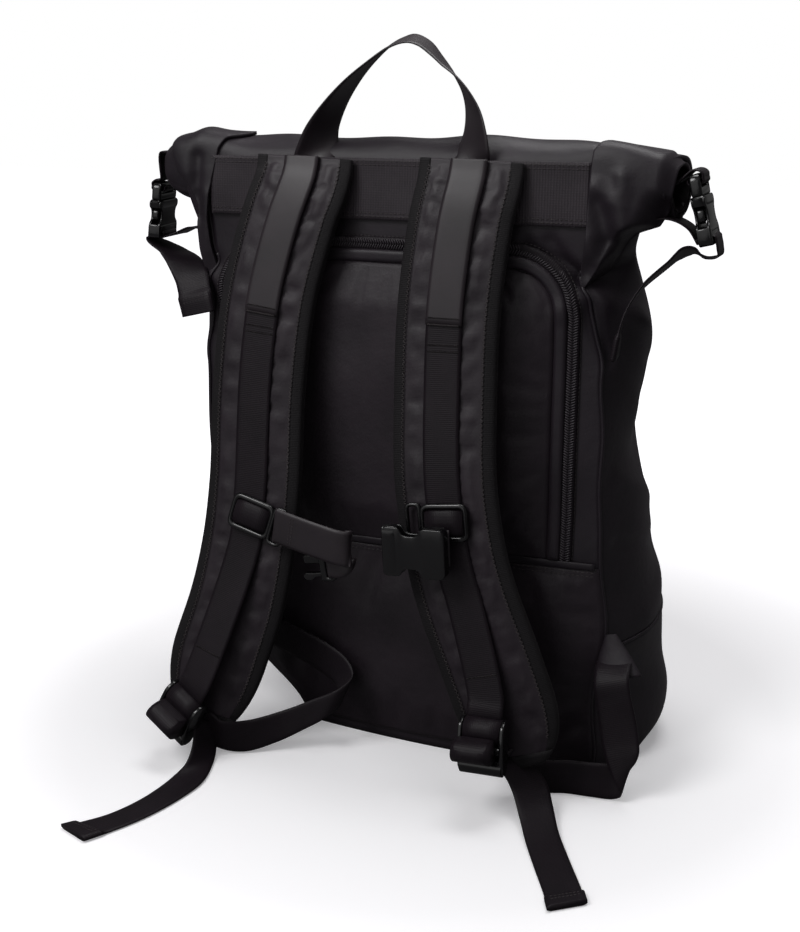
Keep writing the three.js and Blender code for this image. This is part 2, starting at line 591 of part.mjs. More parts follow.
function strapPad(frames) {
  const length = frames.at(0).point.distanceTo(frames.at(-1).point);
  return loft(frames.map((frame, k) => {
    const share = k / (frames.length - 1);
    const past = Math.max(0, 1 - ((1 - share) * length) / strap.endLength);
    const halfWidth = (strap.width / 2) * Math.sqrt(1 - 0.82 * past ** 2);
    const halfThickness = strapThickness(share) / 2;
    return Array.from({ length: 12 }, (_, i) => {
      const angle = ((i + 0.5) / 12) * 2 * Math.PI;
      const across = Math.sign(Math.cos(angle)) * Math.abs(Math.cos(angle)) ** 0.6;
      const out = Math.sign(Math.sin(angle)) * Math.abs(Math.sin(angle)) ** 0.45;
      return frame.point.clone()
        .addScaledVector(frame.width, across * halfWidth)
        .addScaledVector(frame.normal, out * halfThickness);
    });
  }));
}

// Ladder lock: two rails, a top bar for the strap webbing, a middle bar and a lip for the adjuster webbing.
// Local x runs across, y up along the strap and z outwards.
const lock = {
  rail: 3.2, inner: webbing.width + 2 * gap + 0.2, barHalf: 2, topBarOut: 1.8,
  middleBar: -12.5, middleBarHalf: 2.2, middleBarOut: 0.9, middleBarHalfOut: 1.6,
};
const lengthwise = new THREE.Matrix4().makeBasis(
  new THREE.Vector3(0, 1, 0), new THREE.Vector3(0, 0, 1), new THREE.Vector3(1, 0, 0),
);

function across(outline, width, x) {
  const shape = new THREE.Shape(outline.map(([y, z]) => new THREE.Vector2(y, z)));
  const solid = new THREE.ExtrudeGeometry(shape, { depth: width, bevelEnabled: false });
  return solid.translate(0, 0, x - width / 2).applyMatrix4(lengthwise);
}

function rounded(y, z, halfLength, halfHeight) {
  return Array.from({ length: 8 }, (_, i) => {
    const angle = ((i + 0.5) / 8) * 2 * Math.PI;
    const grow = 1 / Math.cos(Math.PI / 8);
    return [y + grow * halfLength * Math.cos(angle), z + grow * halfHeight * Math.sin(angle)];
  });
}

function ladderLock() {
  const full = lock.inner + 2 * lock.rail;
  const railTop = [[3.4, -1.6], [3.4, 2.2], [-10, 4.2], [-21, 6.4], [-27, 6.6]];
  const rail = [...railTop, [-29, 4.6], [-24, 2.2], [-14, -1.4]];
  const lip = [[-18.8, 3], [-18.8, 6], [-27, 6.6], [-29, 4.6]];
  const railPlace = (lock.inner + lock.rail) / 2;
  const middleBar = rounded(lock.middleBar, lock.middleBarOut, lock.middleBarHalf, lock.middleBarHalfOut);
  return geometryOf(joined([
    across(rail, lock.rail, -railPlace),
    across(rail, lock.rail, railPlace),
    across(rounded(0, 0, lock.barHalf, lock.topBarOut), full - 1, 0),
    across(middleBar, full - 1, 0),
    across(lip, full - 1, 0),
  ]));
}

// Frame of a piece: local x runs across, y up and z outwards before it is tipped, leant and turned.
function placed({ x, y, z, turn, lean, tip }) {
  const radians = THREE.MathUtils.degToRad;
  const upright = new THREE.Matrix4().makeBasis(
    new THREE.Vector3(1, 0, 0), new THREE.Vector3(0, 0, 1), new THREE.Vector3(0, -1, 0),
  );
  const tipped = new THREE.Matrix4().makeRotationX(radians(tip));
  const leaning = new THREE.Matrix4().makeRotationY(radians(-lean));
  const turned = new THREE.Matrix4().makeRotationZ(radians(turn));
  return turned.multiply(leaning).multiply(upright).multiply(tipped).setPosition(x, y, z);
}

function rowOf(point, direction) {
  return {
    x: point.x, y: point.y, z: point.z, acrossX: direction.x, acrossY: direction.y, acrossZ: direction.z,
  };
}

// Rows of a ribbon that follows (y, z) places of a local frame, with its width across that frame.
function localRows(places, frame, side) {
  const direction = new THREE.Vector3(side, 0, 0).transformDirection(frame);
  return places.map(([y, z]) => rowOf(new THREE.Vector3(0, y, z).applyMatrix4(frame), direction));
}

const clear = gap + webbing.thickness / 2 + 0.15;
const topBarPath = [
  [12, lock.topBarOut + clear], [4, lock.topBarOut + clear + 0.2], [-0.6, lock.topBarOut + clear],
  [-lock.barHalf - clear, 0], [-0.6, -lock.topBarOut - clear], [6, -lock.topBarOut - clear],
];
const turn = lock.middleBarHalf + clear;
const slant = turn * Math.SQRT1_2;
const middleBarPath = [
  [-27, -2.6], [lock.middleBar - 2.5, lock.middleBarOut - turn],
  [lock.middleBar + slant, lock.middleBarOut - slant],
  [lock.middleBar + turn, lock.middleBarOut], [lock.middleBar + slant, lock.middleBarOut + slant],
  [lock.middleBar - 0.5, lock.middleBarOut + turn], [lock.middleBar - 3, lock.middleBarOut + 2.2],
  [-19.3, 1], [-27, 1.2],
];

// Webbing with a folded hem over its last rows; up says which way the hem thickens.
function hemmed(frames, up) {
  const hemStart = 1 - 2.5 / (frames.length - 1);
  const extra = (webbing.hemThickness - webbing.thickness) / 2;
  return ribbon(
    frames,
    webbing.width,
    (share) => (share > hemStart ? webbing.hemThickness : webbing.thickness),
    (share) => (share > hemStart ? up * extra : 0),
  );
}

const plainWebbing = (rows) => ribbon(framesAlong(rows, 2), webbing.width, () => webbing.thickness);

for (const side of ['left', 'right']) {
  const frames = strapFrames(side);
  const frame = placed(lockPlaces[side]);
  addPiece(`strap_${side}`, strapPad(frames), padding);
  addPiece(`ladder_lock_${side}`, ladderLock(), plastic, frame);

  const onPad = frames.slice(0, -6).map((place, k) => {
    const lift = strapThickness(k / (frames.length - 1)) / 2 + webbing.thickness / 2 + gap;
    return { ...place, point: place.point.clone().addScaledVector(place.normal, lift) };
  });
  const lastOnPad = onPad.slice(-2).map(({ point, width }) => rowOf(point, width));
  const toLock = framesAlong([...lastOnPad, ...localRows(topBarPath, frame, 1)], 2).slice(3);
  addPiece(`strap_webbing_${side}`, ribbon([...onPad, ...toLock], webbing.width, () => webbing.thickness),
    ribbedWebbing);

  const lines = adjusterLines[side];
  const adjuster = [...lines.toLock, ...localRows(middleBarPath, frame, lines.side), ...lines.toEnd];
  addPiece(`adjust_webbing_${side}`, hemmed(framesAlong(adjuster, 2), lines.side), ribbedWebbing);

  const wing = framesAlong(anchorLines[side], 2);
  addPiece(`anchor_tab_${side}`, loft(wing.map((place, k) => {
    const width = THREE.MathUtils.lerp(anchorTab.width, anchorTab.tipWidth, k / (wing.length - 1));
    return flatRing(place, width, anchorTab.thickness);
  })), nylon);
}

addPiece('grab_handle', plainWebbing(handleLine), ribbedWebbing);

// Buckle halves: local y runs along the buckle, with the joint at y = 0 and the female half below it
function plate(outline, thickness) {
  const shape = new THREE.Shape(outline.map(([x, y]) => new THREE.Vector2(x, y)));
  const solid = new THREE.ExtrudeGeometry(shape, { depth: thickness, bevelEnabled: false });
  return solid.translate(0, 0, -thickness / 2);
}

const slotWidth = webbing.width + 0.8;
const slotAt = (y) => solidOf(block(slotWidth, buckle.slot, 2 * buckle.thickness, 0, y, 0));

function buckleFemale() {
  const half = [
    [buckle.halfWidth, 0], [buckle.halfWidth, -4], [buckle.waist, -7], [buckle.waist, -13.5],
    [buckle.halfWidth, -17], [buckle.halfWidth, -24.5], [buckle.halfWidth - 2.5, -buckle.femaleLength],
  ];
  const outline = [...half.map(([x, y]) => [-x, y]), ...half.toReversed()];
  const cavity = block(2 * buckle.cavityHalf, 2 * buckle.cavityDepth, buckle.cavityHeight, 0, 0, 0);
  const body = solidOf(plate(outline, buckle.thickness)).subtract(solidOf(cavity));
  return geometryOf(body.subtract(slotAt(buckle.femaleSlot)));
}

function buckleMale() {
  const side = buckle.halfWidth - 1;
  const half = [[side, gap], [side, 10], [side - 2.5, buckle.maleLength]];
  const outline = [...half, ...half.toReversed().map(([x, y]) => [-x, y])];
  const base = solidOf(plate(outline, buckle.maleThickness)).subtract(slotAt(buckle.maleSlot));
  const reach = buckle.tongue + 2;
  const prongY = 2 - reach / 2;
  const prongs = [-1, 0, 1].map((place) => {
    const width = place ? 3.2 : 7;
    return block(width, reach, buckle.tongueHeight, place * 11, prongY, 0);
  });
  const presses = [-1, 1].map((place) => block(5, 5.6, buckle.tongueHeight, place * 12.2, -10.2, 0));
  return geometryOf(base.add(joined([...prongs, ...presses])));
}

// Path of webbing through a slot and round the bar beside it, in (y, z) of the buckle's frame
function roundBar(slotPlace, barSide, thickness) {
  const out = thickness / 2 + clear;
  const half = [[slotPlace + 3 * barSide, out], [slotPlace + 0.9 * barSide, out - 0.1], [slotPlace, out - 2]];
  return [...half, ...half.toReversed().map(([y, z]) => [y, -z])];
}
const throughMale = roundBar(buckle.maleSlot, 1, buckle.maleThickness);
const overTop = [[2.2, -1], [1.6, 2.8], [-0.4, 4.9]].map(([y, z]) => [buckle.maleLength + y, z]);
const throughFemale = roundBar(buckle.femaleSlot, -1, buckle.thickness).toReversed();

for (const side of ['left', 'right']) {
  const frame = placed(sideBuckles[side]);
  const mirror = side === 'right' ? 1 : -1;
  addPiece(`side_buckle_female_${side}`, buckleFemale(), plastic, frame);
  addPiece(`side_buckle_male_${side}`, buckleMale(), plastic, frame);

  const centreY = seams.at(-1).back + roll.radius;
  const across = new THREE.Vector3(0, mirror, 0);
  const crest = roll.height - roll.droop[side] + roll.radius - 3;
  const offRoll = (out) => {
    const x = roll.middle + mirror * (roll.halfLength + out);
    return rowOf(new THREE.Vector3(x, centreY, crest), across);
  };
  const tab = [offRoll(0.5), offRoll(4), ...localRows([...overTop, ...throughMale], frame, 1)];
  addPiece(`roll_tab_${side}`, plainWebbing(tab), ribbedWebbing);

  const { fromNeck, tail } = sideLines[side];
  const offBar = [buckle.femaleSlot - 7, buckle.thickness / 2 + clear];
  const route = [...fromNeck, ...localRows([...throughFemale, offBar], frame, mirror), ...tail];
  addPiece(`side_webbing_${side}`, hemmed(framesAlong(route, 2), 0), ribbedWebbing);
}

// Chest strap
function sliderFrame(hookSide) {
  const { halfWidth, halfHeight, bar, thickness, hookWidth, hookHalfHeight } = slider;
  const ring = (x, y, across, up, rim) => {
    const outline = (inset) => [[-1, -1], [1, -1], [1, 1], [-1, 1]].map(([sx, sy]) => {
      return new THREE.Vector2(x + sx * (across - inset), y + sy * (up - inset));
    });
    const shape = new THREE.Shape(outline(0));
    shape.holes.push(new THREE.Path(outline(rim)));
    return new THREE.ExtrudeGeometry(shape, { depth: thickness, bevelEnabled: false });
  };
  const hookPlace = hookSide * (halfWidth + hookWidth / 2 - 1.5);
  return geometryOf(joined([
    ring(0, 0, halfWidth, halfHeight, bar),
    ring(hookPlace, 0, hookWidth / 2, hookHalfHeight, bar * 0.75),
  ]));
}

for (const side of ['left', 'right']) {
  const frames = strapFrames(side);
  const nearest = frames.reduce((best, place) => {
    const miss = (candidate) => Math.abs(candidate.point.z - slider.places[side]);
    return miss(place) < miss(best) ? place : best;
  });
  const lift = strap.thickness / 2 + gap + webbing.thickness + gap;
  const up = nearest.tangent.clone().negate();
  const frame = new THREE.Matrix4().makeBasis(nearest.width, up, nearest.normal);
  frame.setPosition(nearest.point.clone().addScaledVector(nearest.normal, lift));
  addPiece(`sternum_slider_${side}`, sliderFrame(slider.hookSide[side]), plastic, frame);
}

const femaleFrame = placed(sternumBuckles.female);
const maleFrame = placed(sternumBuckles.male);
addPiece('sternum_buckle_female', buckleFemale(), plastic, femaleFrame);
addPiece('sternum_buckle_male', buckleMale(), plastic, maleFrame);
const toMale = [buckle.maleLength + 4, buckle.maleThickness / 2 + clear];
const chestRows = [...sternumLine, ...localRows([toMale, ...throughMale], maleFrame, 1)];
addPiece('sternum_webbing', plainWebbing(chestRows), ribbedWebbing);
const shortTab = [[-41, -11.9], [-36, -11.4], [-31, -7.4], ...throughFemale, [-33, 4.6]];
addPiece('sternum_webbing_short', plainWebbing(localRows(shortTab, femaleFrame, 1)), ribbedWebbing);

export default group;
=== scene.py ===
import math
import bmesh
import bpy
import numpy as np
from mathutils import Matrix, Vector


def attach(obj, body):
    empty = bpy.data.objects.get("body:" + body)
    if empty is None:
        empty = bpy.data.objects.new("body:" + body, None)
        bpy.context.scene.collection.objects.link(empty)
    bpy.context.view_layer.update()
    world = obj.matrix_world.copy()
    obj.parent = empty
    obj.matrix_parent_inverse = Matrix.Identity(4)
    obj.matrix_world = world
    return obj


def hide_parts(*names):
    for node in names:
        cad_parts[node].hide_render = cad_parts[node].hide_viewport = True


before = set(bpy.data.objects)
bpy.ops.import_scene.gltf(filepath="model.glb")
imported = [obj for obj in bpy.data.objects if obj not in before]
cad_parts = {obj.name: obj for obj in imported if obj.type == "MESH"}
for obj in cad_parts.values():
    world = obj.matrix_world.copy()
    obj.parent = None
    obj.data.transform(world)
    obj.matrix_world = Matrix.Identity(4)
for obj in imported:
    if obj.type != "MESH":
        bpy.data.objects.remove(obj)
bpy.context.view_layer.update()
mm = 0.001
print("frame loaded")


def unit(v):
    return v / np.linalg.norm(v, axis=-1, keepdims=True)


def smoothStep(x, low, high):
    t = np.clip((np.asarray(x, float) - low) / (high - low), 0, 1)
    return t * t * (3 - 2 * t)


def mix(a, b, t):
    return a + (b - a) * t


# smooth curve through the rows of a table, whose first column is the key
def tableCurve(rows):
    rows = np.array(rows, float)
    keys, values = rows[:, 0], rows[:, 1:]

    def at(key):
        key = np.clip(np.asarray(key, float), keys[0], keys[-1])
        i = np.clip(np.searchsorted(keys, key, side="right") - 1, 0, len(keys) - 2)
        span = keys[i + 1] - keys[i]
        before = np.where(i > 0, i - 1, i + 1)
        after = np.where(i + 2 < len(keys), i + 2, i)
        p = ((key - keys[i]) / span)[..., None]
        wb = (0.5 * span / (keys[i] - keys[before]))[..., None]
        wa = (0.5 * span / (keys[after] - keys[i + 1]))[..., None]
        return (
            values[before] * (-wb * p**3 + 2 * wb * p**2 - wb * p)
            + values[i] * ((1 + wb) * p**3 + (-1.5 - 2 * wb) * p**2 + (wb - 0.5) * p + 1)
            + values[i + 1] * ((-1 - wa) * p**3 + (1.5 + wa) * p**2 + 0.5 * p)
            + values[after] * (wa * p**3 - wa * p**2)
        )

    return at


# centripetal spline through points
def splineThrough(points, perSpan):
    p = np.asarray(points, float)
    p = np.vstack([2 * p[0] - p[1], p, 2 * p[-1] - p[-2]])
    s = np.linspace(0, 1, perSpan, endpoint=False)[:, None]
    spans = []
    for i in range(1, len(p) - 2):
        d0, d1, d2 = (max(np.linalg.norm(p[i + k] - p[i + k - 1]), 1e-3) ** 0.5 for k in range(3))
        t1 = ((p[i] - p[i - 1]) / d0 - (p[i + 1] - p[i - 1]) / (d0 + d1) + (p[i + 1] - p[i]) / d1) * d1
        t2 = ((p[i + 1] - p[i]) / d1 - (p[i + 2] - p[i]) / (d1 + d2) + (p[i + 2] - p[i + 1]) / d2) * d1
        spans.append(
            p[i] * (2 * s**3 - 3 * s**2 + 1) + t1 * (s**3 - 2 * s**2 + s)
            + p[i + 1] * (3 * s**2 - 2 * s**3) + t2 * (s**3 - s**2)
        )
    return np.vstack(spans + [p[-2:-1]])


# values of the columns of some rows at places between their keys
def columnsAt(places, keys, rows):
    return np.stack([np.interp(places, keys, column) for column in np.transpose(rows)], 1)


# running length along one axis of an array of points
def lengthAlong(points, axis=0):
    step = np.linalg.norm(np.diff(points, axis=axis), axis=-1)
    return np.concatenate([0 * np.take(step, [0], axis), np.cumsum(step, axis)], axis)


# middle line of a ribbon with its tangent, normal, direction across and running length
def ribbonFrames(path, across):
    tangent = unit(np.gradient(path, axis=0))
    normal = unit(np.cross(tangent, across))
    width = np.cross(normal, tangent)
    return {"path": path, "tangent": tangent, "normal": normal, "width": width, "length": lengthAlong(path)}


# rows are x, y, z of the middle and x, y, z of the direction across
def framesAlong(rows, perSpan):
    rows = np.asarray(rows, float)
    path = splineThrough(rows[:, :3], perSpan)
    places = np.linspace(0, len(rows) - 1, len(path))
    return ribbonFrames(path, columnsAt(places, np.arange(len(rows)), rows[:, 3:]))


# rows are x, y, z of both edges of a ribbon, for folds that shear it
def framesBetween(rows, perSpan):
    edges = splineThrough(rows, perSpan)
    across = edges[:, 3:] - edges[:, :3]
    frames = ribbonFrames((edges[:, :3] + edges[:, 3:]) / 2, across)
    return {**frames, "width": unit(across), "span": np.linalg.norm(across, axis=1)}


# rows of a middle line turned into rows of both edges
def edgeRows(rows, width):
    rows = np.asarray(rows, float)
    across = unit(rows[:, 3:]) * width / 2
    return np.hstack([rows[:, :3] - across, rows[:, :3] + across])


def cutFrames(frames, start, stop):
    return {key: value[start:stop] for key, value in frames.items()}


# frame of a piece of hardware: x across, y up and z outwards before it is tipped, leant and turned
def placed(x, y, z, turn=0, lean=0, tip=0):
    upright = Matrix(((1, 0, 0), (0, 0, -1), (0, 1, 0)))
    turned = Matrix.Rotation(math.radians(turn), 3, "Z") @ Matrix.Rotation(math.radians(-lean), 3, "Y")
    whole = (turned @ upright @ Matrix.Rotation(math.radians(tip), 3, "X")).to_4x4()
    whole.translation = (x, y, z)
    return np.array(whole)


def moved(points, matrix):
    return np.asarray(points, float) @ matrix[:3, :3].T + matrix[:3, 3]


# rows for framesAlong from places in the y, z plane of a piece of hardware
def localRows(places, matrix, side):
    points = moved([(0, y, z) for y, z in places], matrix)
    return np.hstack([points, np.tile(side * matrix[:3, 0], (len(points), 1))])


# sum of long soft waves in fixed random directions: the slack of cloth
def ripple(points, seed, low, high, amount, waves=12):
    dice = np.random.default_rng(seed)
    total = np.zeros(points.shape)
    for _ in range(waves):
        direction = unit(dice.normal(size=3))
        push = unit(dice.normal(size=3) * (1, 1, 0.25))
        wave = np.sin(points @ direction * (2 * np.pi / dice.uniform(low, high)) + dice.uniform(0, 6.28))
        total += wave[..., None] * push
    return total * (amount / waves**0.5)


def hexColour(code):
    parts = [int(code[k:k + 2], 16) / 255 for k in (1, 3, 5)]
    return tuple(c / 12.92 if c <= 0.04045 else ((c + 0.055) / 1.055) ** 2.4 for c in parts) + (1,)


def addNode(tree, kind, values=None, links=None, **settings):
    node = tree.nodes.new(kind)
    for key, value in settings.items():
        setattr(node, key, value)
    for key, value in (values or {}).items():
        node.inputs[key].default_value = value
    for key, source in (links or {}).items():
        tree.links.new(source, node.inputs[key])
    return node


waveLength = 0.314  # of the wave texture at scale 1


def emptyMaterial(name):
    material = bpy.data.materials.new(name)
    material.use_nodes = True
    return material, material.node_tree, material.node_tree.nodes["Principled BSDF"]


# sizes in a look are millimetres: patches of tone, thread spacing both ways, and the crinkles of the cloth
def wovenMaterial(name, look):
    material, tree, shader = emptyMaterial(name)
    place = addNode(tree, "ShaderNodeTexCoord")
    cloud, wave = {}, {}
    for key, detail, rough in (("patch", 4, 0.6), ("crinkle", 5, 0.55)):
        sizes = {"Scale": 1 / (look[key] * mm), "Detail": detail, "Roughness": rough}
        cloud[key] = addNode(tree, "ShaderNodeTexNoise", sizes, {"Vector": place.outputs["Object"]})
    for key, bend, direction in (("weft", 0.4, "Y"), ("warp", 0.3, "X")):
        sizes = {"Scale": waveLength / (look[key] * mm), "Distortion": bend, "Detail": 1}
        links = {"Vector": place.outputs["UV"]}
        wave[key] = addNode(tree, "ShaderNodeTexWave", sizes, links, bands_direction=direction)
    weave = addNode(
        tree, "ShaderNodeMix", {"Factor": look["warpShare"]},
        {"A": wave["weft"].outputs["Fac"], "B": wave["warp"].outputs["Fac"]}, data_type="FLOAT",
    )
    # painted shade: the colour follows the threads' relief, lighter on the raised threads and darker in the hollows
    # between them
    tone = addNode(
        tree, "ShaderNodeMath", {1: look["paintedThreadShade"]}, {0: weave.outputs[0], 2: cloud["patch"].outputs["Fac"]},
        operation="MULTIPLY_ADD",
    )
    colour = addNode(
        tree, "ShaderNodeMapRange", {"From Min": 0.3, "From Max": 0.75 + look["paintedThreadShade"]},
        {"Value": tone.outputs[0]},
    )
    shade = addNode(
        tree, "ShaderNodeMix", {"A": hexColour(look["dark"]), "B": hexColour(look["light"])},
        {"Factor": colour.outputs[0]}, data_type="RGBA",
    )
    soft = addNode(
        tree, "ShaderNodeBump", {"Strength": 1, "Distance": look["crinkleDepth"] * mm},
        {"Height": cloud["crinkle"].outputs["Fac"]},
    )
    threads = addNode(
        tree, "ShaderNodeBump", {"Strength": 1, "Distance": look["weaveDepth"] * mm},
        {"Height": weave.outputs[0], "Normal": soft.outputs["Normal"]},
    )
    tree.links.new(shade.outputs["Result"], shader.inputs["Base Color"])
    tree.links.new(threads.outputs["Normal"], shader.inputs["Normal"])
    for socket, key in (("Roughness", "rough"), ("Sheen Weight", "sheen"), ("Specular IOR Level", "specular")):
        shader.inputs[socket].default_value = look[key]
    shader.inputs["Sheen Roughness"].default_value = 0.45
    shader.inputs["Sheen Tint"].default_value = hexColour(look["sheenTint"])
    return material


# close plain weave, calendered: a soft satin that lifts to purple grey where folds face the light
nylonCloth = wovenMaterial("nylon, close plain weave, calendered", {
    "dark": "#181319", "light": "#261f26", "patch": 60, "weft": 0.9, "warp": 0.9, "warpShare": 0.5,
    "paintedThreadShade": 0.06, "weaveDepth": 0.03, "crinkle": 9, "crinkleDepth": 0.35, "rough": 0.5, "sheen": 0.08,
    "sheenTint": "#8d8288", "specular": 0.34,
})
# the same cloth over foam, pulled tighter: smoother; its colour is painted a little lighter, standing in for the
# brighter light on the padded pieces
paddedCloth = wovenMaterial("nylon, close plain weave, laid over foam", {
    "dark": "#1b151b", "light": "#2a2229", "patch": 45, "weft": 0.9, "warp": 0.9, "warpShare": 0.5,
    "paintedThreadShade": 0.06, "weaveDepth": 0.03, "crinkle": 7, "crinkleDepth": 0.3, "rough": 0.5, "sheen": 0.1,
    "sheenTint": "#8d8288", "specular": 0.34,
})
# ribs across the webbing, drawn at 1.3 mm, coarser than woven, so that they show from the camera; they stand out by
# their relief and by painted shade in the hollows between them
ribbedWebbing = wovenMaterial("polyester webbing, loom-woven ribs", {
    "dark": "#110c11", "light": "#1d161c", "patch": 30, "weft": 1.3, "warp": 2.4, "warpShare": 0.25,
    "paintedThreadShade": 0.22, "weaveDepth": 0.08, "crinkle": 5, "crinkleDepth": 0.12, "rough": 0.5, "sheen": 0.05,
    "sheenTint": "#7d7276", "specular": 0.2,
})
# the same webbing with a smooth, satin face, its colour set lighter than the ribbed webbing
satinWebbing = wovenMaterial("polyester webbing, satin-woven face", {
    "dark": "#1c171b", "light": "#2c252a", "patch": 40, "weft": 0.9, "warp": 2.4, "warpShare": 0.4,
    "paintedThreadShade": 0.08, "weaveDepth": 0.015, "crinkle": 6, "crinkleDepth": 0.06, "rough": 0.46, "sheen": 0.1,
    "sheenTint": "#8d8288", "specular": 0.42,
})
# binding lies dull and darker beside the satin cloth
bindingTape = wovenMaterial("polyester binding, grosgrain weave", {
    "dark": "#0d0b0d", "light": "#181518", "patch": 25, "weft": 1.2, "warp": 2, "warpShare": 0.2,
    "paintedThreadShade": 0.3, "weaveDepth": 0.12, "crinkle": 5, "crinkleDepth": 0.1, "rough": 0.75, "sheen": 0.15,
    "sheenTint": "#5d565a", "specular": 0.25,
})
# upright ribs of the band across the top of the back, standing out by their relief and by painted shade in the
# hollows between them
bandWebbing = wovenMaterial("polyester band, loom-woven upright ribs", {
    "dark": "#1d181d", "light": "#352e34", "patch": 30, "weft": 1.6, "warp": 1.9, "warpShare": 0.75,
    "paintedThreadShade": 0.35, "weaveDepth": 0.2, "crinkle": 6, "crinkleDepth": 0.15, "rough": 0.6, "sheen": 0.2,
    "sheenTint": "#6d6468", "specular": 0.35,
})
# spun thread, a shade above the cloth so that stitches read as fine dots
sewingThread = wovenMaterial("polyester thread, twisted", {
    "dark": "#242021", "light": "#3d3739", "patch": 6, "weft": 0.5, "warp": 0.5, "warpShare": 0.5,
    "paintedThreadShade": 0.1, "weaveDepth": 0.02, "crinkle": 2, "crinkleDepth": 0.05, "rough": 0.6, "sheen": 0.2,
    "sheenTint": "#8d8288", "specular": 0.3,
})


def mouldedMaterial(name, look):
    material, tree, shader = emptyMaterial(name)
    place = addNode(tree, "ShaderNodeTexCoord")
    grain = addNode(
        tree, "ShaderNodeTexNoise", {"Scale": 1 / (look["grain"] * mm), "Detail": 3},
        {"Vector": place.outputs["Object"]},
    )
    low, high = look["rough"]
    rough = addNode(tree, "ShaderNodeMapRange", {"To Min": low, "To Max": high}, {"Value": grain.outputs["Fac"]})
    relief = addNode(
        tree, "ShaderNodeBump", {"Strength": 1, "Distance": look["depth"] * mm}, {"Height": grain.outputs["Fac"]},
    )
    tree.links.new(rough.outputs[0], shader.inputs["Roughness"])
    tree.links.new(relief.outputs["Normal"], shader.inputs["Normal"])
    shader.inputs["Base Color"].default_value = hexColour(look["colour"])
    return material


# moulded acetal: near-black, with broad clear highlights along its rounded edges
acetal = mouldedMaterial("acetal, injection-moulded", {
    "colour": "#0b0a0c", "grain": 2.5, "rough": (0.14, 0.26), "depth": 0.02,
})
# crimped coil: duller and lighter than the moulded parts, so that its teeth can be told apart
coilNylon = mouldedMaterial("nylon coil, extruded and crimped", {
    "colour": "#2b252b", "grain": 1.5, "rough": (0.45, 0.6), "depth": 0.02,
})
print("materials made")


def linked(name, data):
    holder = bpy.data.objects.new(name, data)
    bpy.context.scene.collection.objects.link(holder)
    return holder


# plain mesh of an object as its modifiers or bevel leave it, in place of the object
def frozen(holder):
    mesh = bpy.data.meshes.new_from_object(holder.evaluated_get(bpy.context.evaluated_depsgraph_get()))
    bpy.data.objects.remove(holder)
    return mesh


# a shape is points and faces, and for woven pieces also the flat coordinates of each point
def meshPiece(name, shape, material):
    mesh = bpy.data.meshes.new(name)
    mesh.from_pydata((np.asarray(shape[0]).reshape(-1, 3) * mm).tolist(), [], shape[1])
    if len(shape) > 2:
        corners = np.empty(len(mesh.loops), np.int32)
        mesh.loops.foreach_get("vertex_index", corners)
        uv = np.asarray(shape[2]).reshape(-1, 2)[corners] * mm
        mesh.uv_layers.new(name="UVMap").data.foreach_set("uv", uv.ravel().astype(np.float32))
    work = bmesh.new()
    work.from_mesh(mesh)
    bmesh.ops.recalc_face_normals(work, faces=work.faces)
    work.to_mesh(mesh)
    work.free()
    mesh.shade_smooth()
    mesh.materials.append(material)
    return linked(name, mesh)


def onBody(piece, slot, *nodes):
    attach(piece, "root")
    if nodes:
        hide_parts(*nodes)
    return piece


def wovenPiece(name, shape, material, slot, *nodes):
    return onBody(meshPiece(name, shape, material), slot, *nodes)


def gridFaces(rows, columns, start=0, closed=False):
    faces = []
    for i in range(rows - 1):
        for j in range(columns if closed else columns - 1):
            k = (j + 1) % columns
            a, b = start + i * columns, start + (i + 1) * columns
            faces.append((a + j, a + k, b + k, b + j))
    return faces


# cloth of a given thickness behind a grid of points, with its edges closed
def thickSheet(grid, thickness, inward):
    rows, columns = grid.shape[:2]
    normal = unit(np.cross(np.gradient(grid, axis=0), np.gradient(grid, axis=1)))
    if (normal * inward).sum() < 0:
        normal = -normal
    points = np.concatenate([grid, grid + normal * thickness]).reshape(-1, 3)
    last = rows * columns
    index = np.arange(last).reshape(rows, columns)
    ring = np.concatenate([index[0], index[1:, -1], index[-1, -2::-1], index[-2:0:-1, 0]]).tolist()
    faces = gridFaces(rows, columns) + gridFaces(rows, columns, last)
    faces += [(a, b, b + last, a + last) for a, b in zip(ring, ring[1:] + ring[:1])]
    uv = np.stack([lengthAlong(grid, 1), lengthAlong(grid, 0)], 2).reshape(-1, 2)
    return points, faces, np.concatenate([uv, uv])


# closed rings skinned along a path, with both ends capped
def skin(rings, around=None):
    rings = np.asarray(rings, float)
    count, size = rings.shape[:2]
    faces = gridFaces(count, size, 0, True)
    faces += [tuple(range(size)), tuple(range((count - 1) * size, count * size))]
    around = lengthAlong(rings[count // 2]) if around is None else np.asarray(around)
    uv = np.stack(np.broadcast_arrays(around[None, :], lengthAlong(rings.mean(1))[:, None]), 2)
    return rings.reshape(-1, 3), faces, uv.reshape(-1, 2)


def joinedShapes(shapes):
    points, faces, uvs, start = [], [], [], 0
    for shape in shapes:
        points.append(np.asarray(shape[0]).reshape(-1, 3))
        faces += [tuple(i + start for i in face) for face in shape[1]]
        uvs.append(np.asarray(shape[2]).reshape(-1, 2) if len(shape) > 2 else np.zeros((len(points[-1]), 2)))
        start += len(points[-1])
    return np.concatenate(points), faces, np.concatenate(uvs)


# walls of the bag: half widths at the back and front seams, their depths and the sideways shift, by height
wallRows = [
    (0, 111, 106, -63.5, 52, 44), (18, 116, 126, -64, 60, 40), (40, 126, 140, -64, 65, 28),
    (66, 141, 148, -64, 67, 13), (105, 153, 150, -64, 68, 8), (165, 150, 146, -64, 68, 4),
    (250, 149, 140, -64, 60, 3), (310, 144, 138, -64, 42, 3), (350, 141, 138, -64.5, 16, 3),
    (372, 142, 140, -65, -8, 4), (390, 144, 143, -65.6, -34, 5), (408, 144, 144, -66, -58, 6),
]
